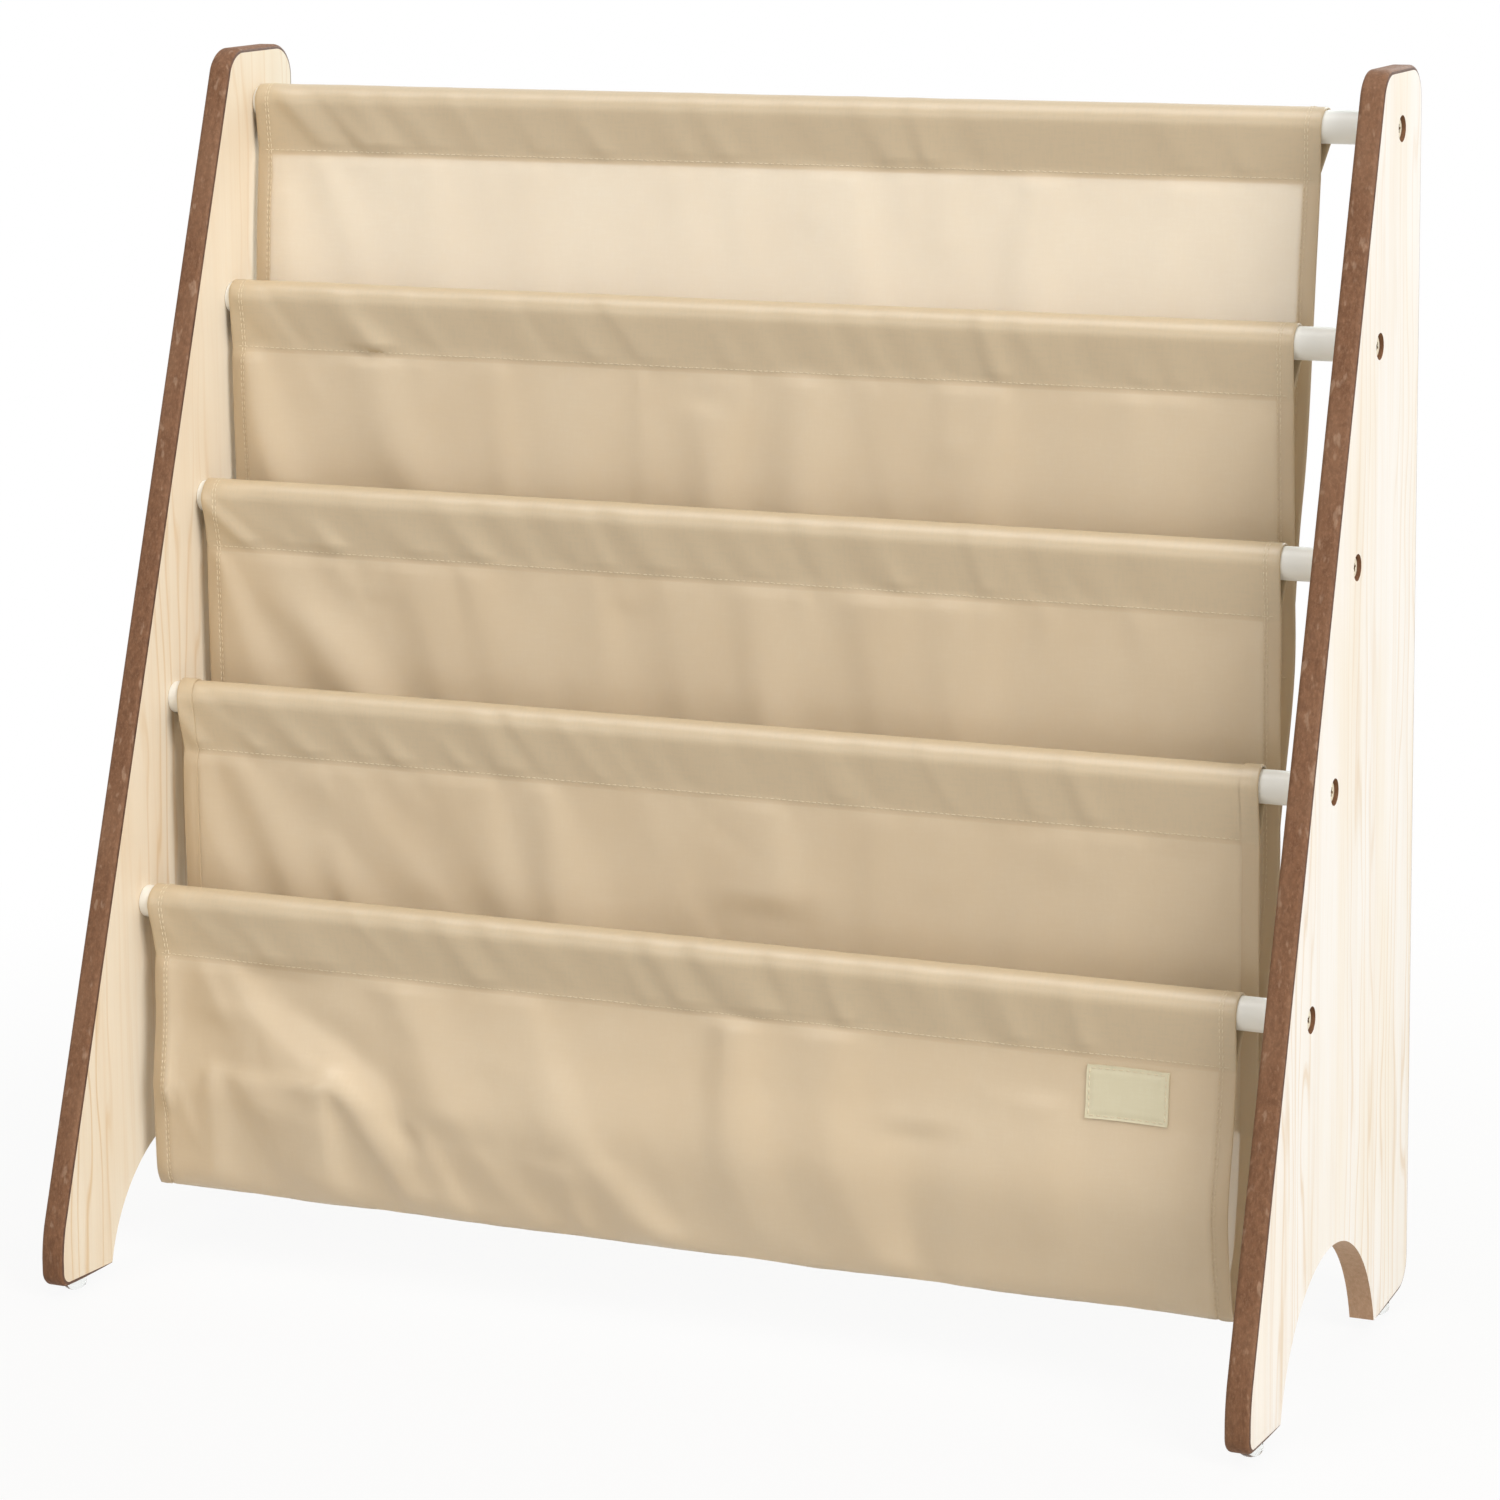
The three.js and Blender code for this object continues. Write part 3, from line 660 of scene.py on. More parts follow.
def lengthsAlong(line):  # the way from the first point to each
    return np.concatenate([[0], np.cumsum(np.linalg.norm(np.diff(line, axis=0), axis=1))])


def partWay(start, end, share):
    return start[0] + (end[0] - start[0]) * share, start[1] + (end[1] - start[1]) * share


def straight(start, end, step=cloth["rowStep"]):  # points from start to end, without the last
    count = max(2, int(math.dist(start, end) / step + 0.5))
    return [partWay(start, end, i / count) for i in range(count)]


def overRod(rod, before, after, turn):  # from the tangent of one point over the rod to that of another
    reach = cloth["rodReach"]
    angles = []
    for point, way in ((before, turn), (after, -turn)):
        dy, dz = point[0] - rod[0], point[1] - rod[1]
        angles.append(math.atan2(dz, dy) + way * math.acos(reach / math.hypot(dy, dz)))
    start, end = angles
    while (end - start) * turn < 0:
        end += turn * 2 * math.pi
    count = int(abs(end - start) * reach / cloth["rodStep"] + 0.5)
    spots = [start + (end - start) * i / count for i in range(count + 1)]
    return [(rod[0] + reach * math.cos(a), rod[1] + reach * math.sin(a)) for a in spots]


def throughPoints(points):  # a smooth line from the second point to the last but one, without its end
    points = [np.array(p, float) for p in points]
    line = []
    for i in range(1, len(points) - 2):
        p0, p1, p2, p3 = points[i - 1:i + 3]
        for t in np.linspace(0, 1, 24, endpoint=False):
            line.append(0.5 * (2 * p1 + (p2 - p0) * t + (2 * p0 - 5 * p1 + 4 * p2 - p3) * t ** 2
                               + (3 * p1 - p0 - 3 * p2 + p3) * t ** 3))
    line = np.array(line + [points[-2]])
    way = lengthsAlong(line)
    wanted = np.linspace(0, way[-1], int(way[-1] / cloth["rowStep"] + 0.5), endpoint=False)
    return list(zip(np.interp(wanted, way, line[:, 0]), np.interp(wanted, way, line[:, 1])))


def clothPath(i):  # its line from the rear flap to the foot, and the rows where a stretch of it ends
    rod = rods[i]
    wall = rod[0] - cloth["wallSetback"]
    stitch = rod[1] - cloth["stitchDrop"]
    low = rod[1] - cloth["pocketDrop"]
    seam = (wall, stitch)
    rear = (wall + cloth["flapGap"], stitch)
    arc = overRod(rod, rear, seam, 1)
    stretches = [("flap", straight((rear[0], stitch - cloth["flapBelow"]), rear, cloth["flapStep"])),
                 ("rear", straight(rear, arc[0])), ("front", arc[:-1]), ("stitch", straight(arc[-1], seam))]
    if i < 3:
        nextRod = rods[i + 1]
        foot = (nextRod[0] - cloth["wallSetback"] + cloth["footGap"], nextRod[1] - cloth["pocketDrop"])
        bend = (wall - (cloth["topLean"] if i == 0 else 0), low)
        end = (foot[0], foot[1] - cloth["allowance"])
        lower = partWay(seam, bend, 2 / 3)
        body = [partWay(seam, bend, -1), seam, partWay(seam, bend, 1 / 3), (lower[0] + cloth["belly"], lower[1]),
                bend, partWay(bend, foot, 0.5), foot, end]
        stretches += [("foot", throughPoints(body)), ("end", straight(foot, end) + [end])]
    else:
        face = rods[4][0] - cloth["wallSetback"]
        top = rods[4][1] - cloth["stitchDrop"]
        foot = low - cloth["allowance"]
        floor = frontPocket["floor"]
        inside = (face + cloth["flapGap"], top)
        end = (inside[0], top - cloth["flapBelow"])
        arc = overRod(rods[4], (face, top), inside, -1)
        body = [(wall, stitch + 30), seam, (wall, (stitch + low) / 2), (wall, low), (wall, foot)]
        body += [(wall - (wall - face) * across, floor + (foot - floor) * up) for across, up in frontPocket["turn"]]
        body += [(face - bulge, floor + (top - floor) * up) for bulge, up in frontPocket["face"]]
        body += [(face, top), (face, top + 30)]
        stretches += [("frontStitch", throughPoints(body)), ("frontRod", straight((face, top), arc[0])),
                      ("frontRear", arc[:-1]), ("frontFlap", straight(arc[-1], inside)),
                      ("end", straight(inside, end, cloth["flapStep"]) + [end])]
    line, marks = [], {}
    for key, stretch in stretches:
        line += stretch
        marks[key] = len(line)
    return np.array(line), marks


# Folds, each as its crest's points (x and z, from low to high), then its height, left reach and right reach,
# each at the low and at the high end

folds = [
    [(-227, 482, -251, 530, -261, 551, 0.3, 1.1, 11, 6, 12, 8), (-275, 482, -280, 530, 1.9, 1, 11, 12, 12, 7),
     (-226, 542, -239, 551, 0.3, 0.9, 7, 9, 8, 10), (-188, 482, -194, 520, -197, 549, 1.4, 1.2, 16, 21, 16, 14),
     (-137, 482, -140, 545, 0.7, 0.7, 14, 16, 16, 16), (-52, 482, -54, 545, 0.6, 0.7, 13, 13, 12, 12),
     (-20, 482, -23, 549, 0, 0.7, 7, 8, 9, 9), (16, 530, 13, 549, 0.7, 0.5, 9, 3, 13, 10),
     (47, 482, 39, 520, 34, 549, 2.1, 1.4, 24, 18, 13, 9), (66, 535, 66, 549, 0.5, 0.5, 6, 4, 5, 5),
     (87, 520, 88, 549, 0.8, 0.7, 11, 10, 8, 7), (132, 482, 131, 525, 132, 551, 2, 1.6, 16, 8, 14, 14),
     (195, 482, 204, 546, 2, 1.3, 20, 9, 16, 14), (218, 482, 222, 545, 0.6, 0.6, 12, 11, 9, 10),
     (-158, 482, -164, 545, 0, 0.2, 8, 6, 10, 10)],
    [(-272, 386, -282, 425, -285, 452, 5, 2.9, 10, 10, 16, 7), (-248, 436, -254, 452, 0.4, 0.2, 9, 12, 3, 3),
     (-189, 386, -202, 410, -214, 452, 2.9, 2.7, 15, 18, 19, 16), (-184, 435, -184, 452, 0.7, 0.9, 6, 9, 6, 7),
     (-140, 386, -144, 452, 1.5, 1.2, 10, 15, 11, 7), (-108, 386, -86, 452, 2.4, 0, 24, 16, 15, 8),
     (-63, 386, -64, 452, 0.6, 0.6, 5, 5, 13, 3), (-24, 386, -29, 430, 1.9, 1.4, 13, 12, 13, 12),
     (-26, 386, -9, 452, 2, 0.9, 14, 17, 13, 3), (21, 386, 23, 452, 3.8, 1.7, 16, 12, 17, 14),
     (72, 386, 56, 452, 0.6, 0.8, 7, 8, 10, 18), (100, 425, 100, 452, 1, 1.2, 10, 6, 9, 7),
     (114, 386, 123, 453, 3, 1.7, 24, 20, 15, 8), (169, 386, 171, 452, 1.1, 0.7, 13, 15, 13, 14),
     (189, 386, 194, 452, 2.1, 1.9, 16, 11, 19, 11), (211, 386, 218, 452, 2.1, 1.6, 16, 14, 14, 12),
     (251, 386, 253, 440, 0, 0.4, 10, 4, 11, 14), (-159, 386, -165, 440, 1.1, 0.2, 15, 12, 11, 8)],
    [(-263, 284, -280, 330, -288, 354, 2.6, 1.4, 16, 4, 16, 3),
     (-208, 284, -229, 314, -246, 332, -252, 354, 4.6, 2, 14, 17, 16, 13),
     (-209, 336, -220, 354, 0.4, 1.1, 6, 16, 3, 6), (-157, 284, -169, 335, -176, 350, 1.5, 1.7, 9, 17, 18, 19),
     (-143, 348, -145, 354, -0.2, -0.9, 3, 5, 7, 5), (-124, 284, -139, 335, -144, 354, 1.1, 2, 18, 6, 30, 10),
     (-103, 320, -106, 345, 0.2, 0.3, 7, 4, 8, 8), (-73, 284, -72, 330, -76, 354, 0.9, 0.5, 17, 6, 10, 6),
     (-38, 336, -38, 354, 0.2, 0.4, 6, 4, 4, 4), (-25, 284, -27, 354, 0.5, 0.8, 10, 14, 18, 16),
     (19, 284, 14, 330, 11, 352, 3.2, 1.8, 15, 11, 14, 18), (42, 284, 38, 330, 36, 354, -0.1, 1, 9, 10, 11, 4),
     (81, 284, 75, 330, 73, 354, 2, 2.7, 14, 16, 27, 26), (116, 284, 115, 330, 115, 352, 2.6, 2.2, 19, 14, 14, 12),
     (127, 284, 130, 325, 133, 354, 1, 1.4, 14, 5, 10, 9), (159, 320, 161, 354, 0.2, 0.8, 4, 4, 11, 9),
     (214, 330, 206, 354, 0.4, 0.7, 9, 3, 13, 12), (242, 284, 242, 345, -0.9, -0.9, 21, 13, 18, 14),
     (-43, 284, -58, 335, -0.9, -0.8, 15, 6, 16, 14), (-183, 284, -195, 330, -0.9, -0.9, 8, 16, 12, 13)],
    [(-263, 183, -281, 235, -280, 258, 2.2, 2.1, 22, 12, 12, 6),
     (-225, 183, -238, 212, -253, 240, -266, 258, 2.9, 1.5, 10, 10, 18, 7),
     (-212, 246, -216, 257, 1, 0.2, 13, 10, 6, 6),
     (-140, 183, -167, 212, -190, 238, -198, 257, 0.9, 1.2, 18, 19, 8, 10),
     (-194, 183, -206, 213, 2.8, 0.9, 7, 13, 18, 6), (-165, 244, -174, 256, 0.6, 0.7, 6, 8, 7, 10),
     (-101, 183, -113, 200, -133, 235, -143, 256, 1.5, 1.4, 12, 13, 19, 16),
     (-107, 183, -117, 225, -123, 256, 0.9, 1.2, 12, 9, 12, 6),
     (-76, 183, -83, 230, -87, 256, 4.9, 1.6, 15, 12, 26, 5), (-27, 232, -34, 256, 0.4, 0.5, 9, 10, 6, 5),
     (2, 183, -20, 215, 0.6, 0.1, 10, 8, 4, 5), (35, 212, 35, 232, 34, 257, 2.7, 1.3, 28, 22, 18, 6),
     (90, 183, 90, 230, 89, 257, 0.8, 1.1, 9, 10, 19, 17), (138, 236, 139, 257, 0.3, 0.2, 9, 4, 5, 3),
     (119, 225, 121, 255, 0.7, 0.7, 12, 10, 13, 10), (185, 240, 187, 256, 1, 0.9, 11, 12, 10, 8),
     (202, 240, 202, 258, 0.2, 0.4, 6, 6, 4, 4), (202, 183, 208, 225, 217, 257, 1.3, 1.2, 28, 22, 10, 9),
     (11, 236, -3, 250, -0.4, -0.2, 9, 6, 7, 7), (160, 183, 167, 245, 0.5, 0.7, 8, 9, 20, 19),
     (235, 183, 242, 245, -1, -1, 18, 14, 19, 16), (58, 215, 60, 250, 0.3, 0.1, 8, 5, 7, 8),
     (-2, 183, 10, 230, -1, 0.2, 7, 14, 14, 8)],
]
frontFolds = [
    (-190, 104, -213, 118, -233, 133, -249, 157, 3.1, 1.9, 19, 11, 9, 5),
    (-147, 85, -158, 108, -183, 124, -212, 140, -225, 157, -2.6, -2.6, 5, 13, 8, 19),
    (-146, 52, -157, 72, -171, 93, -182, 106, 3.9, 4, 6, 7, 12, 8),
    (-126, 98, -134, 120, -151, 152, 2.4, 2.5, 13, 14, 19, 19),
    (-186, 45, -188, 60, -191, 100, 4, 5.2, 19, 19, 10, 7), (-256, 45, -255, 60, -256, 100, 3.6, 2.3, 13, 5, 11, 7),
    (-253, 135, -264, 157, 1.4, 1.2, 9, 6, 5, 3), (-282, 90, -285, 157, 3.3, 2.1, 5, 5, 2, 7),
    (-218, 88, -239, 132, 1.7, 1.2, 13, 18, 18, 11), (-222, 88, -229, 120, 0.3, -0.5, 5, 4, 4, 3),
    (-269, 72, -276, 90, 1.3, 1.1, 6, 7, 4, 4), (-118, 46, -136, 84, 2.8, 1.5, 15, 5, 6, 5),
    (-96, 64, -113, 94, 0.9, 0.5, 8, 11, 4, 4), (-76, 45, -97, 74, 1, 0.6, 10, 10, 4, 5),
    (-50, 45, -59, 72, 2, 2.3, 6, 14, 6, 9), (-11, 46, -33, 68, -55, 92, -71, 122, -86, 157, 3.6, 2, 19, 19, 13, 10),
    (-9, 45, -34, 76, 1.7, 1, 11, 13, 9, 10), (40, 60, 34, 90, 29, 120, 27, 157, 2.6, 4, 15, 10, 19, 14),
    (105, 45, 91, 75, 80, 110, 79, 157, 2.4, 3.1, 19, 19, 13, 15), (123, 45, 123, 110, -2.5, -2.6, 8, 16, 12, 19),
    (148, 110, 150, 150, -0.4, -0.1, 11, 10, 10, 11), (203, 50, 192, 90, 187, 130, 0.6, 1.7, 19, 19, 12, 12),
    (258, 45, 257, 80, 252, 120, 1, 0.7, 15, 10, 5, 11), (-206, 58, -234, 98, 2.6, 2.8, 12, 8, 18, 19),
    (-150, 140, -160, 157, 0.4, 0.6, 7, 9, 8, 8), (-100, 125, -105, 157, 1.3, 0.2, 17, 12, 14, 9),
]

# Tucks drawn up by the stitches of each casing: x on the stitch row and at the height tuckRise above it,
# height at both, reach to each side
tucks = [
    [(-254, -275, 0.8, 1.2, 4, 8), (-231, -251, 1.4, 0.4, 3, 6), (-219, -235, 1.4, 0.9, 8, 8),
     (-192, -213, 0.5, 0.6, 6, 7), (-164, -179, 0.3, 0.4, 7, 3), (-131, -148, 0.5, 0.2, 3, 10),
     (-96, -112, 0.9, 0.3, 6, 6), (-51, -64, 0.6, 0.3, 8, 6), (-29, -42, 0.9, 0.4, 6, 6),
     (13, -2, -0.6, -0.6, 10, 7), (59, 46, 1, 0.6, 6, 10), (77, 70, 1.2, 0.4, 3, 6), (100, 89, -0.6, -0.5, 5, 6),
     (210, 198, 0.4, 0.6, 8, 9), (238, 228, 0.7, 0, 3, 9)],
    [(-276, -296, -0.6, -0.6, 5, 4), (-253, -270, -0.6, -0.6, 2, 5), (-208, -229, 3.1, 0.9, 10, 6),
     (-182, -201, -0.6, -0.1, 8, 5), (-163, -180, -0.6, -0.6, 4, 8), (-142, -161, -0.6, -0.6, 10, 9),
     (-112, -126, -0.6, -0.3, 3, 6), (-87, -102, 0.8, 0.2, 5, 6), (-60, -77, 0.6, 0.6, 3, 10),
     (-12, -24, 0.6, 0.1, 5, 4), (21, 8, -0.6, -0.6, 5, 10), (55, 42, -0.6, -0.4, 5, 6), (76, 65, -0.6, -0.5, 5, 6),
     (100, 89, -0.6, -0.2, 4, 5), (126, 119, 1.3, 1, 5, 6), (151, 140, 0.1, 0.6, 6, 5), (173, 165, -0.6, -0.6, 5, 6),
     (198, 188, 0.6, 0, 3, 7), (216, 208, 0.5, 0.2, 3, 7), (235, 226, -0.4, -0.1, 4, 5)],
    [(-266, -293, 1.7, 1.5, 5, 3), (-242, -264, 0.9, -0.6, 6, 8), (-216, -236, 2.4, 0, 10, 4),
     (-190, -206, 0, 0.3, 3, 7), (-170, -192, 1.2, 0.2, 6, 10), (-135, -155, 1.4, 0.4, 6, 6),
     (-119, -136, -0.6, -0.4, 7, 5), (-95, -110, -0.6, -0.4, 5, 7), (-78, -94, 0.4, 0.3, 5, 9),
     (-65, -77, 0.7, 0.5, 7, 4), (-37, -54, 1, 0.9, 8, 10), (-9, -22, 0.7, 0.2, 7, 6), (16, 1, 0.5, 0.3, 6, 6),
     (42, 31, -0.6, -0.6, 5, 4), (65, 54, -0.6, -0.6, 6, 7), (88, 77, 1.3, 0.4, 8, 6), (132, 125, 0.9, 0.6, 3, 7),
     (160, 150, -0.6, -0.6, 6, 4), (183, 172, -0.6, 0, 6, 4), (207, 197, -0.5, -0.5, 8, 8)],
    [(-279, -295, 1.3, 1.4, 5, 4), (-245, -267, 1.3, -0.6, 3, 4), (-215, -239, 1.5, 0.6, 6, 6),
     (-185, -203, 0.9, 0.2, 4, 4), (-163, -182, 1.7, 0.2, 6, 4), (-128, -148, 1, 0, 5, 3),
     (-104, -120, 1.2, 0.8, 7, 7), (-85, -101, 0.3, 0.6, 2, 8), (-54, -72, 0.5, 0.5, 5, 4),
     (-31, -46, -0.4, -0.3, 3, 7), (-8, -22, -0.7, -0.2, 6, 4), (29, 15, 0, -0.4, 4, 7), (70, 56, 0.6, 0.3, 3, 10),
     (88, 75, -0.3, -0.7, 4, 7), (127, 116, 0.4, 0.5, 3, 7), (170, 160, 0.5, 0.4, 3, 8), (197, 188, 0.9, 0.7, 4, 7)],
    [(-275, -296, -0.4, 0.6, 2, 6), (-264, -281, -0.7, -0.7, 4, 8), (-237, -260, 0.8, -0.7, 3, 6),
     (-221, -241, 1.5, 0.2, 5, 6), (-201, -221, 0.8, 0.4, 9, 10), (-188, -207, 0.6, 0.3, 8, 5),
     (-147, -169, 0.2, 0.5, 3, 3), (-128, -145, -0.1, 0.5, 6, 8), (-105, -122, 1.2, 1, 6, 8),
     (-81, -97, -0.1, 0.7, 5, 7), (-60, -78, -0.6, 0.3, 4, 6), (-41, -58, -0.7, -0.5, 6, 8),
     (-16, -28, 0.9, 0.3, 4, 7), (4, -10, 1.4, 1.1, 5, 10), (31, 15, 0.4, 1, 5, 7), (45, 29, 2, 0.9, 10, 9),
     (62, 52, 0.3, 0.7, 3, 9), (86, 77, 1.4, 0.5, 4, 5), (107, 96, -0.7, -0.7, 6, 4), (132, 122, 0, 0.5, 3, 11),
     (153, 142, -0.7, -0.7, 5, 8), (174, 164, 1.1, 0.6, 8, 6), (206, 200, 1.2, 0.6, 5, 6)],
]


def crestAt(z, xs, zs):  # x of a smooth line through points xs and zs, at each z
    slopes = np.gradient(xs, zs)
    inside = np.clip(z, zs[0], zs[-1])
    k = np.clip(np.searchsorted(zs, inside) - 1, 0, len(zs) - 2)
    step = zs[k + 1] - zs[k]
    t = (inside - zs[k]) / step
    x = (1 + 2 * t) * (1 - t) ** 2 * xs[k] + t * (1 - t) ** 2 * step * slopes[k]
    x += t * t * (3 - 2 * t) * xs[k + 1] + t * t * (t - 1) * step * slopes[k + 1]
    return x + (z - inside) * np.where(z < zs[0], slopes[0], slopes[-1])


# Where the folds, tucks and waves fade, and over how much cloth or height
fade = {"below": 16, "above": 10, "stitch": 7, "foot": 45, "wallEnd": 150, "wallFade": 30, "faceStart": 128,
        "faceFade": 22, "faceRow": 60, "slope": 0.35, "slopeFade": 0.6, "held": 16, "heldFoot": 40,
        "hiddenFrom": 110, "hiddenFade": 50, "tuckRise": 22, "tuckEnd": 2.1, "seam": 9, "casing": 10}

# Low waves, as seed, length and height: in the hidden part, on the walls, along a seam and in a casing
slack = {"hidden": (11, 74, 1.2), "hiddenFront": (11, 74, 0.25), "wall": (31, 31, 0.1), "seam": (51, 11, 0.16),
         "casing": (91, 8, 0.1)}


def relief(x, z, crests):  # how far the folds lift the cloth at x and z
    lift = np.zeros_like(x)
    for crest in crests:
        xs, zs = np.array(crest[:-6], float).reshape(-1, 2).T
        up = np.clip((z - zs[0]) / (zs[-1] - zs[0]), 0, 1)
        height, left, right = (low + (high - low) * up for low, high in (crest[-6:-4], crest[-4:-2], crest[-2:]))
        gap = (x - crestAt(z, xs, zs)) / math.hypot(1, (xs[-1] - xs[0]) / (zs[-1] - zs[0]))
        hold = ease((z - zs[0] + fade["below"]) / fade["below"]) * ease((zs[-1] + fade["above"] - z) / fade["above"])
        lift += height * hold * np.exp(-(gap / np.where(gap < 0, left, right)) ** 2)
    return lift


def waviness(x, way, kind, number):  # uneven low waves, the same at each run
    seed, length, height = slack[kind]
    pick = np.random.RandomState(seed + number)
    total = np.zeros_like(x)
    for k in range(7):
        across = 2 * math.pi / (length * pick.uniform(0.55, 1.8))
        along = across * pick.uniform(-0.7, 0.7)
        total += np.sin(x * across + way * along + pick.uniform(0, 6.28)) * pick.uniform(0.4, 1)
    return total * height / 2.2


def puckers(x, gone, number):  # waves that a seam draws up, over a few millimetres beside it
    return waviness(x, gone, "seam", number) * ease(gone / 2) * np.exp(-np.clip(gone, 0, 400) / fade["seam"])


def sheetGrid(i):
    line, marks = clothPath(i)
    tangent = np.gradient(line, axis=0)
    tangent /= np.hypot(tangent[:, 0], tangent[:, 1])[:, None]
    normal = np.stack([tangent[:, 1], -tangent[:, 0]], axis=1)
    edges = {}
    for side in ("left", "right"):
        rows, places = zip(*sorted((marks[key], x) for key, x in sideEdges[i][side].items()))
        edges[side] = np.interp(np.arange(len(line)), rows, places)
    near = cloth["nearEdge"]
    first, last = edges["left"] + near[-1], edges["right"] - near[-1]
    between = int(cloth["plainWidth"] / cloth["columnStep"])
    columns = [edges["left"] + distance for distance in near]
    columns += [first * (1 - k / (between + 1)) + last * k / (between + 1) for k in range(1, between + 1)]
    columns += [edges["right"] - distance for distance in reversed(near)]
    return {"line": line, "way": lengthsAlong(line), "normal": normal, "marks": marks, "edges": edges,
            "x": np.stack(columns, axis=1)}


def fromEdge(grid):  # distance from the nearer side edge
    return np.minimum(grid["x"] - grid["edges"]["left"][:, None], grid["edges"]["right"][:, None] - grid["x"])


def besideHem(grid):  # 1 where the hems lie, 0 away from them
    return ease((cloth["hemTurn"] + 6 - fromEdge(grid)) / 5)


def liftOf(i, grid):  # how far each point of the sheet stands off its smooth line
    x, marks = grid["x"], grid["marks"]
    stitch = marks["stitch"]
    foot = marks["foot"] if i < 3 else marks["frontStitch"]
    row = np.arange(len(x))[:, None]
    z = grid["line"][:, 1:] + np.zeros_like(x)
    way = grid["way"][:, None] + np.zeros_like(x)
    gone = way - grid["way"][stitch]
    ahead = grid["way"][foot] - way
    held = ease(gone / fade["held"]) * ease(ahead / fade["heldFoot"])
    hidden = ease((gone - fade["hiddenFrom"]) / fade["hiddenFade"]) * ease(ahead / fade["heldFoot"])
    lift = relief(x, z, folds[i]) * ease(gone / fade["stitch"])
    if i < 3:
        lift = lift * ease(ahead / fade["foot"])
    else:
        pocket = frontPocket
        upright = ease((np.abs(grid["normal"][:, :1]) - fade["slope"]) / fade["slopeFade"])
        onFace = ease((fade["faceStart"] - ahead) / fade["faceFade"]) * ease(ahead / fade["stitch"]) * upright
        lift = lift * ease((fade["wallEnd"] - gone) / fade["wallFade"]) - relief(x, z, frontFolds) * onFace
        flatter = ease((grid["edges"]["left"][:, None] + pocket["leftReach"] - x) / pocket["leftReach"])
        pull = ease(ahead / pocket["pullTop"]) * ease((pocket["pullFoot"] - ahead) / pocket["pullFade"]) * upright
        lift += puckers(x, ahead, 20) + pocket["leftPull"] * flatter * pull
    lift += waviness(x, gone, "hidden" if i < 3 else "hiddenFront", i) * hidden
    lift += waviness(x, gone, "wall", i) * held + puckers(x, gone, i)
    inward = fromEdge(grid)
    hem = sum(height * np.exp(-((inward - place) / reach) ** 2) for place, reach, height in cloth["hemRelief"])
    lift += hem * held * np.where((i == 3) & (row >= stitch + fade["faceRow"]), -1, 1)
    lift = np.where((row >= stitch) & (row <= foot), lift, 0)
    lift += casingLift(i, grid, marks["rear"], stitch, 1, i)
    if i == 3:
        lift += casingLift(4, grid, foot, marks["frontRear"], -1, 6)
    return lift


def casingLift(rod, grid, first, final, outward, number):  # slanted tucks drawn up by the stitches
    x = grid["x"]
    row = np.arange(len(x))[:, None]
    gone = np.abs(grid["way"] - grid["way"][final if outward > 0 else first])[:, None]
    up = gone / fade["tuckRise"]
    lift = waviness(x + gone * 0.6, gone, "casing", number) * ease(gone / 2.5) * np.exp(-gone / fade["casing"])
    hold = ease(gone / 3) * ease(fade["tuckEnd"] - up)
    for low, high, heightLow, heightHigh, left, right in tucks[rod]:
        gap = (x - low - (high - low) * up) / math.hypot(1, (high - low) / fade["tuckRise"])
        height = heightLow + (heightHigh - heightLow) * np.minimum(up, 1)
        lift += height * hold * np.exp(-(gap / np.where(gap < 0, left, right)) ** 2)
    return outward * np.where((row >= first) & (row <= final), np.maximum(lift, -0.4), 0)


def stepBehind(i, grid):  # the flaps stand off the wall, and more so where hems lie between
    marks = grid["marks"]
    row = np.arange(len(grid["x"]))[:, None]
    if i < 3:
        share = ease((marks["rear"] - row) / (marks["rear"] - marks["flap"]))
    else:
        share = ease((row - marks["frontRear"]) / (marks["frontFlap"] - marks["frontRear"]))
    return (cloth["flapAtHem"] - cloth["flapGap"]) * besideHem(grid) * share


def drapedGrid(i, wallBelow):  # with y and z of the sheet's middle layer
    grid = sheetGrid(i)
    lift = liftOf(i, grid)
    y = grid["line"][:, :1] + grid["normal"][:, :1] * lift + stepBehind(i, grid)
    z = grid["line"][:, 1:] + grid["normal"][:, 1:] * lift
    if i < 3:  # its foot follows the wall that it is sewn to
        row = np.arange(len(y))[:, None]
        extra = (cloth["footAtHem"] - cloth["footGap"]) * besideHem(grid) if i < 2 else 0
        y = y + ease((row - grid["marks"]["foot"] + 20) / 20) * (extra + wallBelow(grid["x"], z))
    grid["y"], grid["z"] = y, z
    return grid


def wallOf(grid):  # how far a finished wall stands from its smooth line, to the rear, at x and z
    marks = grid["marks"]
    first, last = marks["stitch"], marks.get("foot", marks["stitch"] + int(139 / cloth["rowStep"]))
    columns = grid["x"][first]
    heights = grid["z"][first:last].mean(axis=1)[::-1]
    depth = (grid["y"][first:last] - grid["line"][first:last, :1])[::-1]

    def ask(x, z):
        down = np.interp(z, heights, np.arange(len(heights)))
        across = np.interp(x, columns, np.arange(len(columns)))
        k = np.clip(down.astype(int), 0, len(heights) - 2)
        j = np.clip(across.astype(int), 0, len(columns) - 2)
        share, part = down - k, across - j
        upper = depth[k, j] * (1 - part) + depth[k, j + 1] * part
        lower = depth[k + 1, j] * (1 - part) + depth[k + 1, j + 1] * part
        return upper * (1 - share) + lower * share

    return ask


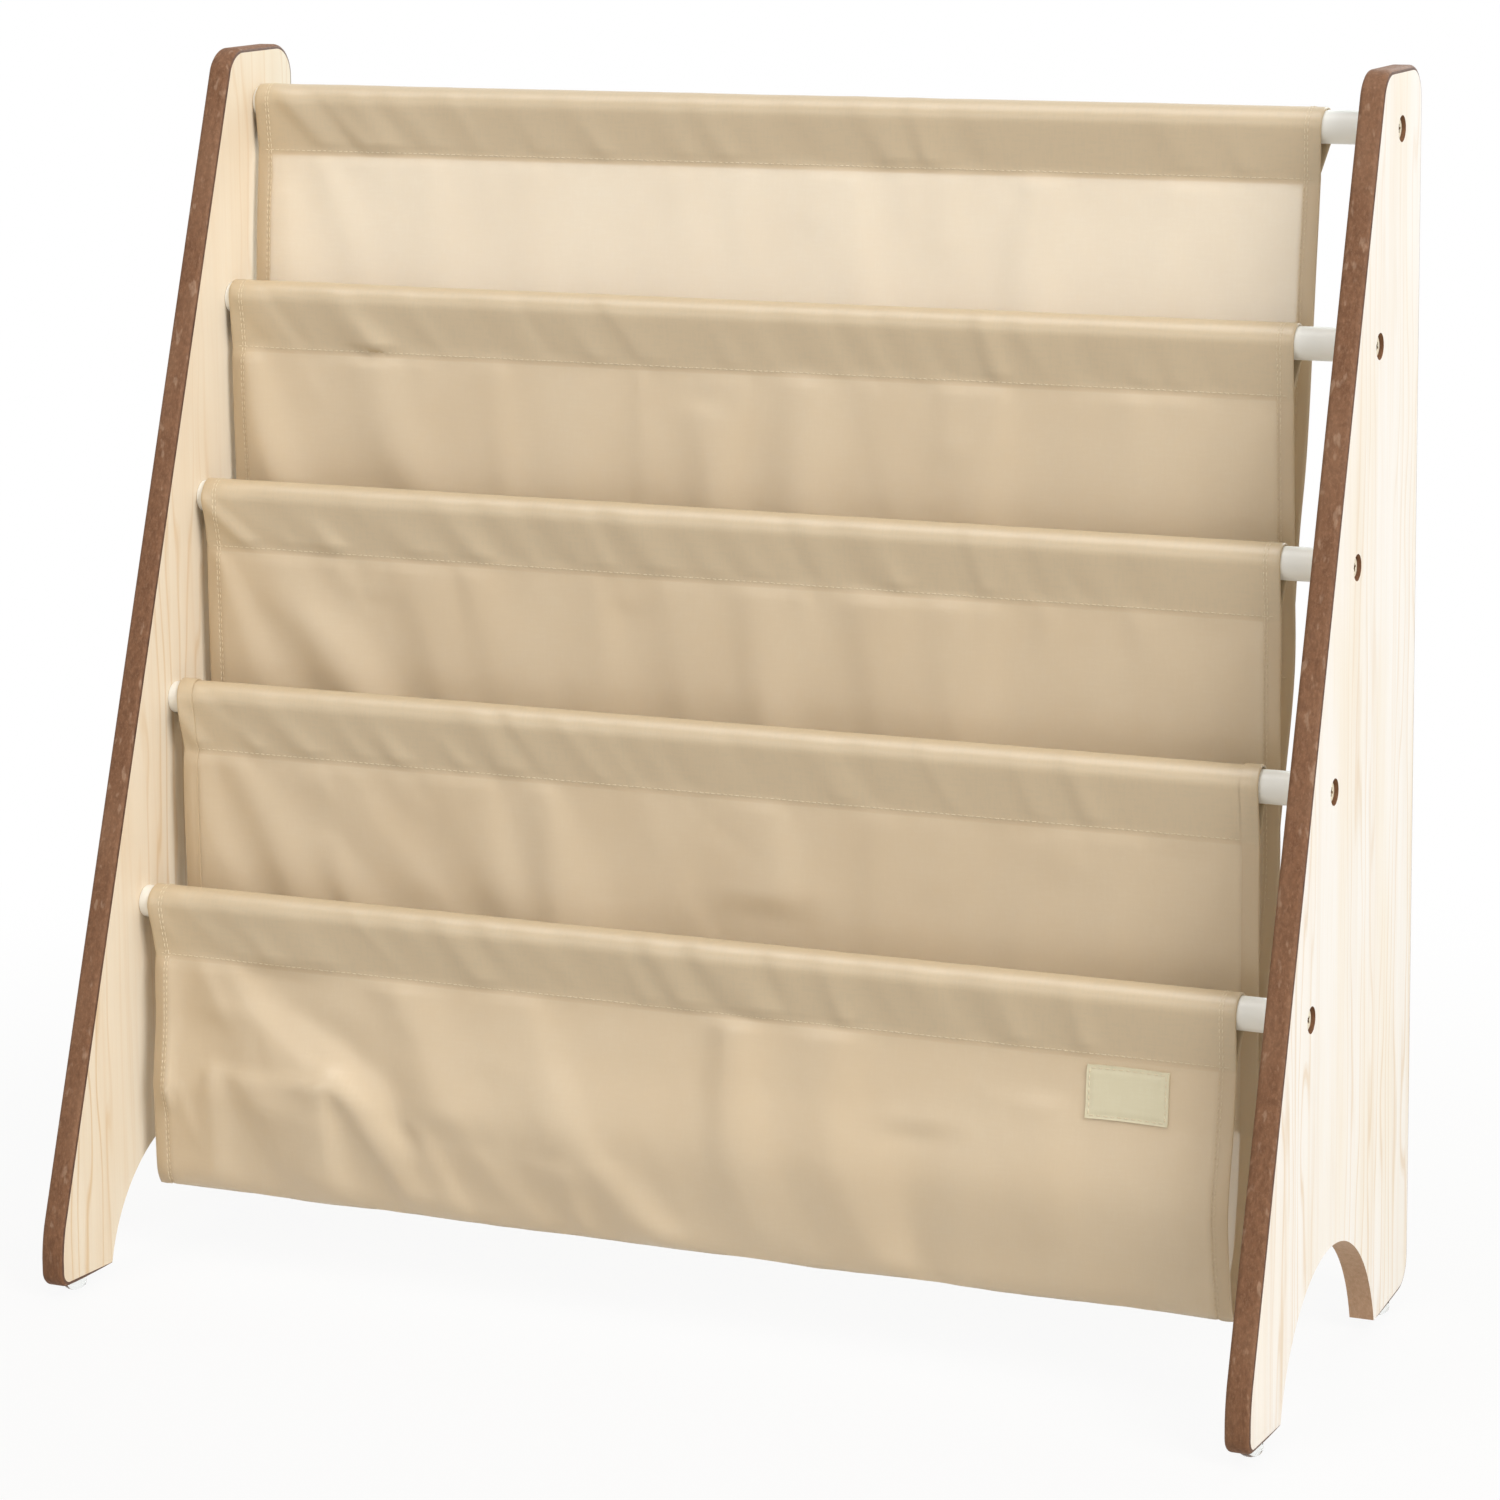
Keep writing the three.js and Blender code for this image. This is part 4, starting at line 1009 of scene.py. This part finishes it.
def hemLayout():  # the turned hem's columns, as distance from the edge and share of the hem gap
    radius = cloth["hemGap"] / 2
    flatPart = [(cloth["hemTurn"] - d, 1) for d in (0, 1.4, 2.8, 4.2, 5.6, 6.8)]
    turn = [(radius - radius * math.cos(a), 0.5 + 0.5 * math.sin(a)) for a in (1.3, 0.65, 0, -0.65, -1.3)]
    return flatPart + [(radius + 0.35, 1)] + turn


def sheetMesh(name, i, grid):
    x, y, z, marks = grid["x"], grid["y"], grid["z"], grid["marks"]
    hemSide = -1 if i < 3 else 1
    layout = hemLayout()
    width = float(x[0, -1] - x[0, 0])

    def hemColumn(side, distance, share):
        place = grid["edges"][side] + (distance if side == "left" else -distance)
        off = grid["normal"] * hemSide * cloth["hemGap"] * share
        yHere, zHere = (np.array([np.interp(*ask) for ask in zip(place, x, values)]) for values in (y, z))
        return np.stack([place, yHere + off[:, 0], zHere + off[:, 1]], axis=1)

    givenUp = 2  # the outermost columns give way to the turn
    columns = [(-distance, hemColumn("left", distance, share)) for distance, share in layout]
    columns += [(float(x[0, j] - x[0, 0]), np.stack([x[:, j], y[:, j], z[:, j]], axis=1))
                for j in range(givenUp, x.shape[1] - givenUp)]
    columns += [(width + distance, hemColumn("right", distance, share)) for distance, share in reversed(layout)]
    cut = np.array([place for place, column in columns]) + cloth["hemTurn"]
    points = np.stack([column for place, column in columns], axis=1) * mm
    rows, wide = points.shape[:2]
    index = np.arange(rows * wide).reshape(rows, wide)
    faces = np.stack([index[:-1, :-1], index[:-1, 1:], index[1:, 1:], index[1:, :-1]], axis=-1).reshape(-1, 4)
    piece = meshPiece(name, points.reshape(-1, 3).tolist(), faces.tolist(), "sling")
    corner = np.zeros(len(piece.data.loops), dtype=int)
    piece.data.loops.foreach_get("vertex_index", corner)
    flat = np.stack([np.tile(cut, rows), np.repeat(grid["way"], wide)], axis=1) * mm
    piece.data.uv_layers.new(name="cut").data.foreach_set("uv", flat[corner].astype(np.float32).ravel())
    row = np.arange(rows)[:, None]
    column = np.arange(wide)
    hemColumns = len(layout) + 7 - givenUp
    doubled = (row <= marks["stitch"]) | (row >= marks.get("frontStitch", rows))
    inHem = (column < hemColumns) | (column >= wide - hemColumns)
    # the layers also darken the cloth's colour in its material, as painted shade
    layers = np.maximum(doubled, 0.45 * inHem).astype(np.float32)
    piece.data.attributes.new("layers", "FLOAT", "POINT").data.foreach_set("value", layers.ravel())
    faceOutward(piece)
    thicken(piece, cloth["thick"] * mm)
    smooth(piece, 60)
    grid["flat"] = ((width + 2 * cloth["hemTurn"]) * mm, float(grid["way"][-1]) * mm)
    return piece


grids = [None] * 4
wallBelow = None
for i in (3, 2, 1, 0):
    grids[i] = drapedGrid(i, wallBelow)
    wallBelow = wallOf(grids[i])
print("cloths draped")


# Sewing threads: small raised stitches, each a spindle that dips into the cloth at both ends

# The spindle's rings are given as place along its length, share of its radius, and rise; the rest says where
# the runs of stitches start and end
thread = {"radius": 0.2, "flatness": 0.8, "length": 2.75, "pitch": 3.1, "sides": 5,
          "spindle": [(-0.5, 0.25, -0.13), (-0.28, 0.9, 0.15), (0, 1.05, 0.23), (0.28, 0.9, 0.15),
                      (0.5, 0.25, -0.13)],
          "fromEdge": 3, "hemRuns": (6.1, 7.6), "hemTop": 12, "hemEnd": 4, "wallEnd": 130, "faceStart": 168,
          "faceEnd": 8}


def surfaceSpot(grid, row, x, lift):  # a point on the sheet's face and the way out of it
    k = min(max(int(row), 0), len(grid["line"]) - 2)

    def at(k, x):
        return np.array([x, np.interp(x, grid["x"][k], grid["y"][k]), np.interp(x, grid["x"][k], grid["z"][k])])

    here, below = at(k, x), at(k + 1, x)
    out = np.cross(below - here, at(k, x + 1) - here)
    out /= np.linalg.norm(out)
    if out[1:] @ grid["normal"][k] < 0:
        out = -out
    return here + (below - here) * (row - k) + out * lift, out


def stitchRun(grid, rows, xs, side):  # stitches along a line of rows and x
    return stitchesAlong([surfaceSpot(grid, row, x, side * cloth["thick"] / 2) for row, x in zip(rows, xs)], side)


def stitchesAlong(line, side):  # stitches at an even pitch
    spots = np.array([spot for spot, out in line])
    outs = np.array([out for spot, out in line]) * side
    way = lengthsAlong(spots)
    count = int(way[-1] / thread["pitch"])

    def at(place, values):
        return np.array([np.interp(place, way, column) for column in values.T])

    found = []
    for k in range(count):
        middle = (k + 0.5) * way[-1] / count
        along = at(middle + thread["length"] / 2, spots) - at(middle - thread["length"] / 2, spots)
        out = at(middle, outs)
        found.append((at(middle, spots), along / np.linalg.norm(along), out / np.linalg.norm(out)))
    return found


def stitchPiece(name, stitches, spread=0.12):
    pick = np.random.RandomState(len(stitches))
    sides = thread["sides"]
    lastRing = (len(thread["spindle"]) - 1) * sides
    points, faces = [], []
    for centre, along, out in stitches:
        along = along + np.cross(out, along) * pick.uniform(-spread, spread)
        along /= np.linalg.norm(along)
        aside = np.cross(out, along)
        long = thread["length"] * pick.uniform(0.92, 1.06)
        start = len(points)
        for share, thick, rise in thread["spindle"]:
            middle = centre + along * share * long + out * rise
            for s in range(sides):
                angle = 2 * math.pi * (s + 0.5) / sides
                ring = aside * math.cos(angle) + out * math.sin(angle) * thread["flatness"]
                points.append(tuple((middle + ring * thread["radius"] * thick) * mm))
        for ring in range(start, start + lastRing, sides):
            for s in range(sides):
                a, b = ring + s, ring + (s + 1) % sides
                faces.append((a, b, b + sides, a + sides))
        faces.append(tuple(start + s for s in reversed(range(sides))))
        faces.append(tuple(start + lastRing + s for s in range(sides)))
    piece = meshPiece(name, points, faces, "thread")
    faceOutward(piece)
    smooth(piece, 60)
    standFor(piece, "sling_cloth")
    return piece


def clothStitches(i):
    grid = grids[i]
    marks, edges = grid["marks"], grid["edges"]
    stitch, top = marks["stitch"], marks["front"] - thread["hemTop"]

    def acrossRun(row, side):
        left, right = edges["left"][int(row)] + thread["fromEdge"], edges["right"][int(row)] - thread["fromEdge"]
        return stitchRun(grid, [row] * 260, np.linspace(left, right, 260), side)

    found = acrossRun(stitch, 1)
    if i > 0:  # the foot of the cloth behind is sewn to this wall
        seam = rods[i][1] - cloth["pocketDrop"] - 0.5 * cloth["allowance"]
        wallRows = np.arange(stitch, stitch + int(157 / cloth["rowStep"]))
        found += acrossRun(np.interp(-seam, -grid["line"][wallRows, 1], wallRows), 1)
    if i < 3:
        runs = [(top, len(grid["line"]) - 1 - thread["hemEnd"], 1)]
    else:
        found += acrossRun(marks["frontStitch"], -1)
        wallEnd, faceStart = (stitch + int(thread[key] / cloth["rowStep"]) for key in ("wallEnd", "faceStart"))
        runs = [(top, wallEnd, 1), (faceStart, marks["frontRear"] - thread["faceEnd"], -1)]
    for inset in thread["hemRuns"]:
        for side, sign in (("left", 1), ("right", -1)):
            for first, final, face in runs:
                rows = np.arange(first, final + 1)
                found += stitchRun(grid, rows, edges[side][rows] + sign * inset, face)
    return found


for i in range(4):
    sheet = sheetMesh(f"sling_cloth_{i + 1}_sheet", i, grids[i])
    standFor(sheet, "sling_cloth", f"sling_cloth_{i + 1}")
    threads = stitchPiece(f"sling_cloth_{i + 1}_stitches", clothStitches(i))
print("cloths and stitches made")


# The patch: a bare woven label, its edges turned under, sewn to the front pocket

patch = {"width": 40, "height": 24.5, "thick": 0.5, "sewnIn": 1.5, "across": 48, "up": 30, "offCloth": 0.1,
         "crown": 0.3, "crownReach": 2.4, "rim": 0.2, "rippleUp": 0.25, "rippleAcross": 0.18, "sway": 0.2, "sag": 0.25}


def labelPatch():
    low, high = ([v / mm for v in corner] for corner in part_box("label_patch"))
    grid = grids[3]
    last = grid["marks"]["frontStitch"]
    rows = np.arange(last - int(126 / cloth["rowStep"]), last + 1)
    heights = grid["z"][rows].mean(axis=1)

    def spotAt(u, v, over=0.0):
        beside, above = min(u, 1 - u) * patch["width"], min(v, 1 - v) * patch["height"]
        edge = min(beside, above)
        wave = patch["rippleUp"] * math.sin(u * 21 + 1) * math.exp(-above / 3)
        wave += patch["rippleAcross"] * math.sin(v * 17) * math.exp(-beside / 3)
        x = low[0] + (high[0] - low[0]) * u + patch["sway"] * math.sin(v * 5 + 1)
        z = low[2] + (high[2] - low[2]) * v + patch["sag"] * math.sin(u * 4)
        crown = patch["crown"] * ease((edge - patch["sewnIn"]) / patch["crownReach"])
        crown += patch["rim"] * math.exp(-edge ** 2)
        raised = (cloth["thick"] + patch["thick"]) / 2 + patch["offCloth"] + crown + max(wave, 0) + over
        return surfaceSpot(grid, np.interp(z, heights, rows), x, -raised)

    wide, tall = patch["across"] + 1, patch["up"] + 1
    shares = [(a / patch["across"], b / patch["up"]) for b in range(tall) for a in range(wide)]
    corners = [b * wide + a for b in range(tall - 1) for a in range(wide - 1)]
    faces = [(k, k + 1, k + wide + 1, k + wide) for k in corners]
    piece = meshPiece("label_patch_tape", [tuple(spotAt(u, v)[0] * mm) for u, v in shares], faces, "label")
    uv = piece.data.uv_layers.new(name="cut")
    for loop in piece.data.loops:
        u, v = shares[loop.vertex_index]
        uv.data[loop.index].uv = (u * patch["width"] * mm, v * patch["height"] * mm)
    thicken(piece, patch["thick"] * mm)
    faceOutward(piece)
    smooth(piece, 60)
    standFor(piece, "label_cloth", "label_patch")

    found = []
    inU, inV = patch["sewnIn"] / patch["width"], patch["sewnIn"] / patch["height"]
    lowLeft, lowRight, highLeft, highRight = (inU, inV), (1 - inU, inV), (inU, 1 - inV), (1 - inU, 1 - inV)
    for start, end in ((lowLeft, lowRight), (highLeft, highRight), (lowLeft, highLeft), (lowRight, highRight)):
        line = [spotAt(*partWay(start, end, t), patch["thick"] / 2) for t in np.linspace(0, 1, 60)]
        found += stitchesAlong(line, -1)
    return piece, stitchPiece("label_patch_stitches", found, 0.05)


label, labelThreads = labelPatch()
print("label made")


# Camera, lamps, floor and background

view = {"place": (0.89143, -2.00826, 0.74842), "turn": 23.5154, "tilt": -8.42, "roll": -0.485,
        "lens": 110.79, "shift": (0.001, -0.2)}

# Each lamp's place, what it points at, its size, power and colour
lamps = {"key lamp": ((5.2, -2.6, 4.4), (0, 0, 0.3), 3.8, 392, (1, 1, 1)),
         "top lamp": ((-0.7, -0.6, 3.1), (-0.05, 0, 0.3), 1.6, 25, (1, 1, 1)),
         "low front lamp": ((-0.9, -1.7, 0.4), (-0.15, 0, 0.25), 0.5, 0.7, (1, 1, 1)),
         "front fill lamp": ((-0.9, -2.5, 1.6), (-0.1, 0, 0.3), 0.8, 7, (1, 1, 1)),
         "rear lamp": ((0.6, 2.4, 1.8), (0, 0, 0.3), 1.6, 35, (0.76, 0.93, 1))}


def addCamera():
    turn, tilt, roll = (math.radians(view[key]) for key in ("turn", "tilt", "roll"))
    right = Vector((math.cos(turn), math.sin(turn), 0))
    ahead = Vector((-math.sin(turn), math.cos(turn), 0))
    up = Vector((0, 0, 1))
    aim = ahead * math.cos(tilt) + up * math.sin(tilt)
    over = -ahead * math.sin(tilt) + up * math.cos(tilt)
    side = right * math.cos(roll) + over * math.sin(roll)
    top = -right * math.sin(roll) + over * math.cos(roll)
    camera = bpy.data.objects.new("camera", bpy.data.cameras.new("camera"))
    bpy.context.collection.objects.link(camera)
    place = Matrix((side, top, -aim)).transposed().to_4x4()
    place.translation = view["place"]
    camera.matrix_world = place
    camera.data.lens = view["lens"]
    camera.data.sensor_width = 36
    camera.data.shift_x, camera.data.shift_y = view["shift"]
    bpy.context.scene.camera = camera


def addLamp(name, place, aimAt, size, power, color):
    lamp = bpy.data.objects.new(name, bpy.data.lights.new(name, "AREA"))
    lamp.data.shape = "SQUARE"
    lamp.data.size = size
    lamp.data.energy = power
    lamp.data.color = color
    lamp.location = place
    lamp.rotation_euler = (Vector(aimAt) - Vector(place)).to_track_quat("-Z", "Y").to_euler()
    bpy.context.collection.objects.link(lamp)


def addWorld(level):  # a white background that lights the shelf softly and a little warmly
    world = bpy.context.scene.world or bpy.data.worlds.new("world")
    bpy.context.scene.world = world
    world.use_nodes = True
    world.node_tree.nodes.clear()
    soft = addNode(world, "Background", Strength=level, Color=(1, 0.94, 0.86, 1))
    white = addNode(world, "Background", Strength=1.0, Color=(1, 1, 1, 1))
    output = addNode(world, "OutputWorld")
    put(world, mixShader(world, directRays(world), soft, white), output.inputs["Surface"])


addCamera()
addWorld(0.27)
for name, values in lamps.items():
    addLamp(name, *values)

deselectAll()
bpy.ops.mesh.primitive_plane_add(size=9, location=(0, 0, 0))
floor = bpy.context.object
floor.name = floor.data.name = "studio_floor"
floor.data.materials.append(materials["floor"])

bpy.context.scene.view_settings.view_transform = "Standard"
bpy.context.view_layer.update()
